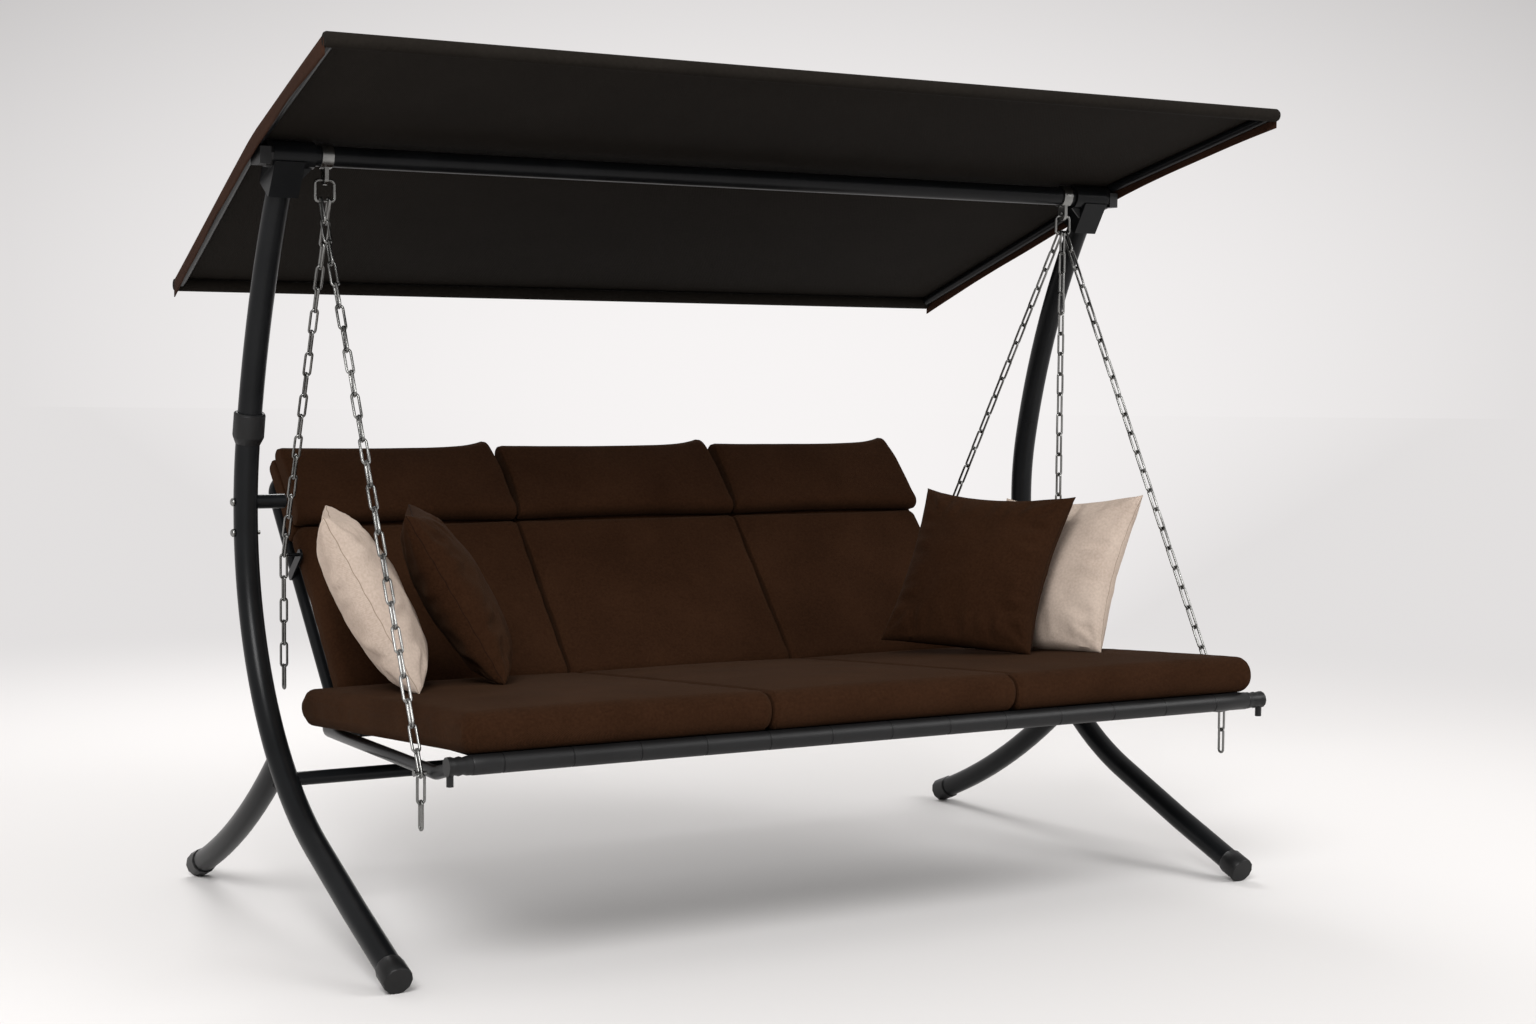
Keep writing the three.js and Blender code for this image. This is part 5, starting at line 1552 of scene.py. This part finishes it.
@dataclass
class LooseCushions:
    """The four loose cushions at the ends of the seat."""

    size: float = 0.390
    thick: float = 0.134
    cells: int = 72
    rim: float = 0.0016
    fullness: float = 0.40
    side_draw: float = 0.024
    top_draw: float = 0.026
    bottom_draw: float = 0.004
    crease: float = 0.0056
    ripple: float = 0.0045
    gather: float = 0.0085
    gather_band: float = 0.42
    pucker: float = 0.0016
    fill: float = 0.7
    cushions: tuple[Cushion, ...] = (
        Cushion("cream_cushion_left", Slot.CREAM, (-0.840, -0.020 + SHIFT_Y, 0.6671), 69, 28, 0, 1.0),
        Cushion("brown_cushion_left", Slot.BROWN, (-0.640, 0.020 + SHIFT_Y, 0.6657), 67, 30, 0, 2.3),
        Cushion("brown_cushion_right", Slot.BROWN, (0.585, -0.120 + SHIFT_Y, 0.6795), -65.5, 29, -1, 3.1),
        Cushion("cream_cushion_right", Slot.CREAM, (0.775, -0.150 + SHIFT_Y, 0.6663), -76, 28, 4, 4.6),
    )

    def point(self, a: float, b: float, side: float, seed: float) -> Vector:
        """A point of a full cushion with eared corners and folds that run in from them.

        Args:
            a: From -1 to 1 across it.
            b: From -1 to 1 up it.
            side: From -1 on its back to 1 on its front, and between them on its rim.
            seed: The number that sets its folds.

        Returns:
            The point from the cushion's middle.
        """
        half = self.size / 2
        edge = max(abs(a), abs(b))
        along = b if abs(a) > abs(b) else a
        full = ((1 - a * a) * (1 - b * b)) ** self.fullness
        corner = (abs(a) * abs(b)) ** 2
        angle = math.atan2(1 - abs(b), 1 - abs(a))
        folds = math.sin(angle * 9 + seed * 3 + 2 * noise.noise(Vector((a * 2, b * 2, seed))))
        crease = self.crease * folds * corner ** 0.5 * (1 - corner) * min(1.0, full * 3)
        ripple = self.ripple * noise.noise(Vector((a * 3 + seed, b * 3, side * 2))) * full
        band = math.sin(math.pi * min(1.0, (1 - edge) / self.gather_band))
        gather = self.gather * noise.noise(Vector((along * 6.5 + seed, edge, side * 3))) * band
        pucker = self.pucker * math.sin(along * 27 + seed) * edge ** 14
        swell = self.rim + (self.thick / 2 - self.rim) * full + crease + ripple + gather * min(1.0, full * 2)
        draw = self.top_draw if b > 0 else self.bottom_draw
        return Vector((
            a * (half - self.side_draw * (1 - b * b)),
            b * (half - draw * (1 - a * a)),
            side * swell + pucker * (1 - abs(side)),
        ))

    def cover(self, cushion: Cushion) -> bmesh.types.BMesh:
        """Makes one cushion from a cube, with a darker band of painted shade along its seam in a second
        material.

        Args:
            cushion: Which one.

        Returns:
            The mesh in the row frame.
        """
        bm = bmesh.new()
        bmesh.ops.create_cube(bm, size=2.0)
        flat = [e for e in bm.edges if abs((e.verts[0].co - e.verts[1].co).z) < 1e-6]
        bmesh.ops.subdivide_edges(bm, edges=flat, cuts=self.cells - 1, use_grid_fill=True)
        upright = [e for e in bm.edges if abs((e.verts[0].co - e.verts[1].co).z) > 1e-6]
        bmesh.ops.subdivide_edges(bm, edges=upright, cuts=3, use_grid_fill=True)
        # The middle of the rim takes the seam's material, darkened as painted shade
        for face in bm.faces:
            face.material_index = 1 if max(abs(v.co.z) for v in face.verts) < 0.75 else 0
        for vert in bm.verts:
            vert.co = cushion.pose @ self.point(*vert.co, cushion.seed)
        bmesh.ops.recalc_face_normals(bm, faces=bm.faces)
        return bm

    def build(self) -> None:
        """Makes the cushions."""
        for cushion in self.cushions:
            bm = self.cover(cushion)
            piece = make_piece(f"{cushion.name}_cover", bm, cushion.slot, Body.SWING, (cushion.name,))
            # The second material paints shade along the seam
            piece.data.materials.append(FINISHES.seams[cushion.slot])


@dataclass(frozen=True)
class Lamp:
    """One soft round lamp that points at the seat."""

    name: str
    at: tuple[float, float, float]
    size: float
    power: float
    target: tuple[float, float, float] = (0, 0, 0.7)

    def hang(self) -> None:
        """Puts the lamp in the studio."""
        data = bpy.data.lights.new(self.name, "AREA")
        data.shape = "DISK"
        data.size = self.size
        data.energy = self.power
        lamp = new_object(self.name, data)
        lamp.location = self.at
        lamp.rotation_euler = (Vector(self.target) - Vector(self.at)).to_track_quat("-Z", "Y").to_euler()


@dataclass
class Studio:
    """The floor, the light and the camera."""

    camera_at: tuple[float, float, float] = (-2.6161, -4.5727 + SHIFT_Y, 1.1343)
    yaw: float = math.radians(30.708)
    pitch: float = math.radians(-3.443)
    roll: float = math.radians(-0.479)
    lens: float = 56.39
    sensor: float = 36
    backdrop_level: float = 0.93
    backdrop_least: float = 0.56
    backdrop_tint: tuple[float, float, float] = (1.0, 0.975, 0.972)
    side_fall: float = 1.9
    side_limit: float = 0.17
    height_fall: float = 8.4
    floor_half: float = 60
    floor_tone: tuple[float, float, float, float] = (0.755, 0.738, 0.732, 1)
    floor_fade: tuple[float, float] = (1.8, 5.5)
    room_light: tuple[float, float, float, float] = (1.0, 0.985, 0.97, 1)
    room_strength: float = 0.62
    lamps: tuple[Lamp, ...] = (
        Lamp("key_lamp", (-4.2, -5.0, 5.2), 3.2, 400),
        Lamp("fill_lamp", (4.6, -4.2, 4.2), 3.6, 165),
        Lamp("back_lamp", (1.0, 5.0, 4.6), 3.6, 200),
    )

    def camera(self) -> None:
        """Places the camera at the photograph's angle."""
        level = math.cos(self.pitch)
        forward = Vector((math.sin(self.yaw) * level, math.cos(self.yaw) * level, math.sin(self.pitch)))
        right = Vector((math.cos(self.yaw), -math.sin(self.yaw), 0))
        down = forward.cross(right)
        across = right * math.cos(self.roll) + down * math.sin(self.roll)
        below = down * math.cos(self.roll) - right * math.sin(self.roll)
        data = bpy.data.cameras.new("photo_camera")
        data.lens = self.lens
        data.sensor_width = self.sensor
        data.clip_end = self.floor_half
        camera = new_object("photo_camera", data)
        turn = Matrix((across, -below, -forward)).transposed()
        camera.matrix_world = Matrix.Translation(self.camera_at) @ turn.to_4x4()
        bpy.context.scene.camera = camera

    def backdrop(self) -> bpy.types.NodeTree:
        """Builds the backdrop's tone for a direction from the swing: pale, with painted shade that makes it a
        little darker up and aside.

        Returns:
            The node group, with a Colour.
        """
        group = new_group("backdrop_tone", {}, {"Colour": "Color"})
        start = group.nodes.new("NodeGroupInput").outputs["Vector"]
        way = add_node(group, "VectorMath", {0: start}, operation="NORMALIZE").outputs[0]
        right = (math.cos(self.yaw), -math.sin(self.yaw), 0)
        side = add_node(group, "VectorMath", {0: way, 1: right}, operation="DOT_PRODUCT")
        split = add_node(group, "SeparateXYZ", {0: way})
        # Painted shade: the backdrop darkens aside and upwards
        aside = math_node(group, "POWER", side.outputs["Value"], 2.0)
        aside = math_node(group, "MULTIPLY", aside, self.side_fall)
        aside = math_node(group, "MINIMUM", aside, self.side_limit)
        up = math_node(group, "POWER", math_node(group, "MAXIMUM", split.outputs["Z"], 0.0), 2.0)
        fall = math_node(group, "ADD", aside, math_node(group, "MULTIPLY", up, self.height_fall))
        level = math_node(group, "SUBTRACT", self.backdrop_level, fall)
        level = math_node(group, "MAXIMUM", level, self.backdrop_least)
        tones = [math_node(group, "MULTIPLY", level, share) for share in self.backdrop_tint]
        colour = add_node(group, "CombineColor", dict(enumerate(tones))).outputs[0]
        feed(group, group.nodes.new("NodeGroupOutput"), {"Colour": colour})
        return group

    def floor(self, tone: bpy.types.NodeTree) -> None:
        """Makes the pale floor, which far from the swing fades into a painted glow in the backdrop's tone.

        Args:
            tone: The backdrop's node group.
        """
        bm = bmesh.new()
        bmesh.ops.create_grid(bm, x_segments=1, y_segments=1, size=self.floor_half)
        floor = new_object("floor", new_mesh("floor", bm))
        material = bpy.data.materials.new("floor_paper")
        material.use_nodes = True
        tree = material.node_tree
        paper = tree.nodes["Principled BSDF"]
        feed(tree, paper, {"Base Color": self.floor_tone, "Roughness": 0.8, "Specular IOR Level": 0.1})
        place = add_node(tree, "TexCoord", {}).outputs["Object"]
        colour = add_node(tree, "Group", {"Vector": place}, node_tree=tone).outputs["Colour"]
        # Painted light: the floor's far part glows in the backdrop's tone, though it is no lamp
        glow = add_node(tree, "Emission", {"Color": colour})
        distance = add_node(tree, "VectorMath", {0: place}, operation="LENGTH").outputs["Value"]
        near, far = self.floor_fade
        reach = {"Value": distance, "From Min": near, "From Max": far}
        fade = add_node(tree, "MapRange", reach, interpolation_type="SMOOTHSTEP").outputs["Result"]
        mix = add_node(tree, "MixShader", {0: fade, 1: paper.outputs[0], 2: glow.outputs[0]})
        feed(tree, tree.nodes["Material Output"], {"Surface": mix.outputs[0]})
        floor.data.materials.append(material)

    def world(self, tone: bpy.types.NodeTree) -> None:
        """Fills the room with soft light, and shows the backdrop to the camera and in reflections.

        Args:
            tone: The backdrop's node group.
        """
        world = bpy.data.worlds.new("studio")
        bpy.context.scene.world = world
        world.use_nodes = True
        tree = world.node_tree
        tree.nodes.clear()
        light = add_node(tree, "Background", {"Color": self.room_light, "Strength": self.room_strength})
        way = add_node(tree, "TexCoord", {}).outputs["Generated"]
        colour = add_node(tree, "Group", {"Vector": way}, node_tree=tone).outputs["Colour"]
        seen = add_node(tree, "Background", {"Color": colour})
        ray = add_node(tree, "LightPath", {}).outputs
        shiny = math_node(tree, "MAXIMUM", ray["Is Glossy Ray"], ray["Is Transmission Ray"])
        shown = math_node(tree, "MAXIMUM", ray["Is Camera Ray"], shiny)
        mix = add_node(tree, "MixShader", {0: shown, 1: light.outputs[0], 2: seen.outputs[0]})
        add_node(tree, "OutputWorld", {0: mix.outputs[0]})

    def build(self) -> None:
        """Sets up the studio."""
        self.camera()
        tone = self.backdrop()
        self.floor(tone)
        self.world(tone)
        for lamp in self.lamps:
            lamp.hang()
        bpy.context.scene.view_settings.view_transform = "Standard"


ASSEMBLIES = (SideFrames, Beam, Canopy, HangingGear, Seat, Back, Upholstery, LooseCushions, Studio)


def main() -> None:
    """Builds the swing in order."""
    logging.basicConfig(level=logging.INFO, format="%(message)s")
    for assembly in ASSEMBLIES:
        assembly().build()
        LOG.info("%s built", assembly.__name__)


if __name__ == "__main__":
    main()
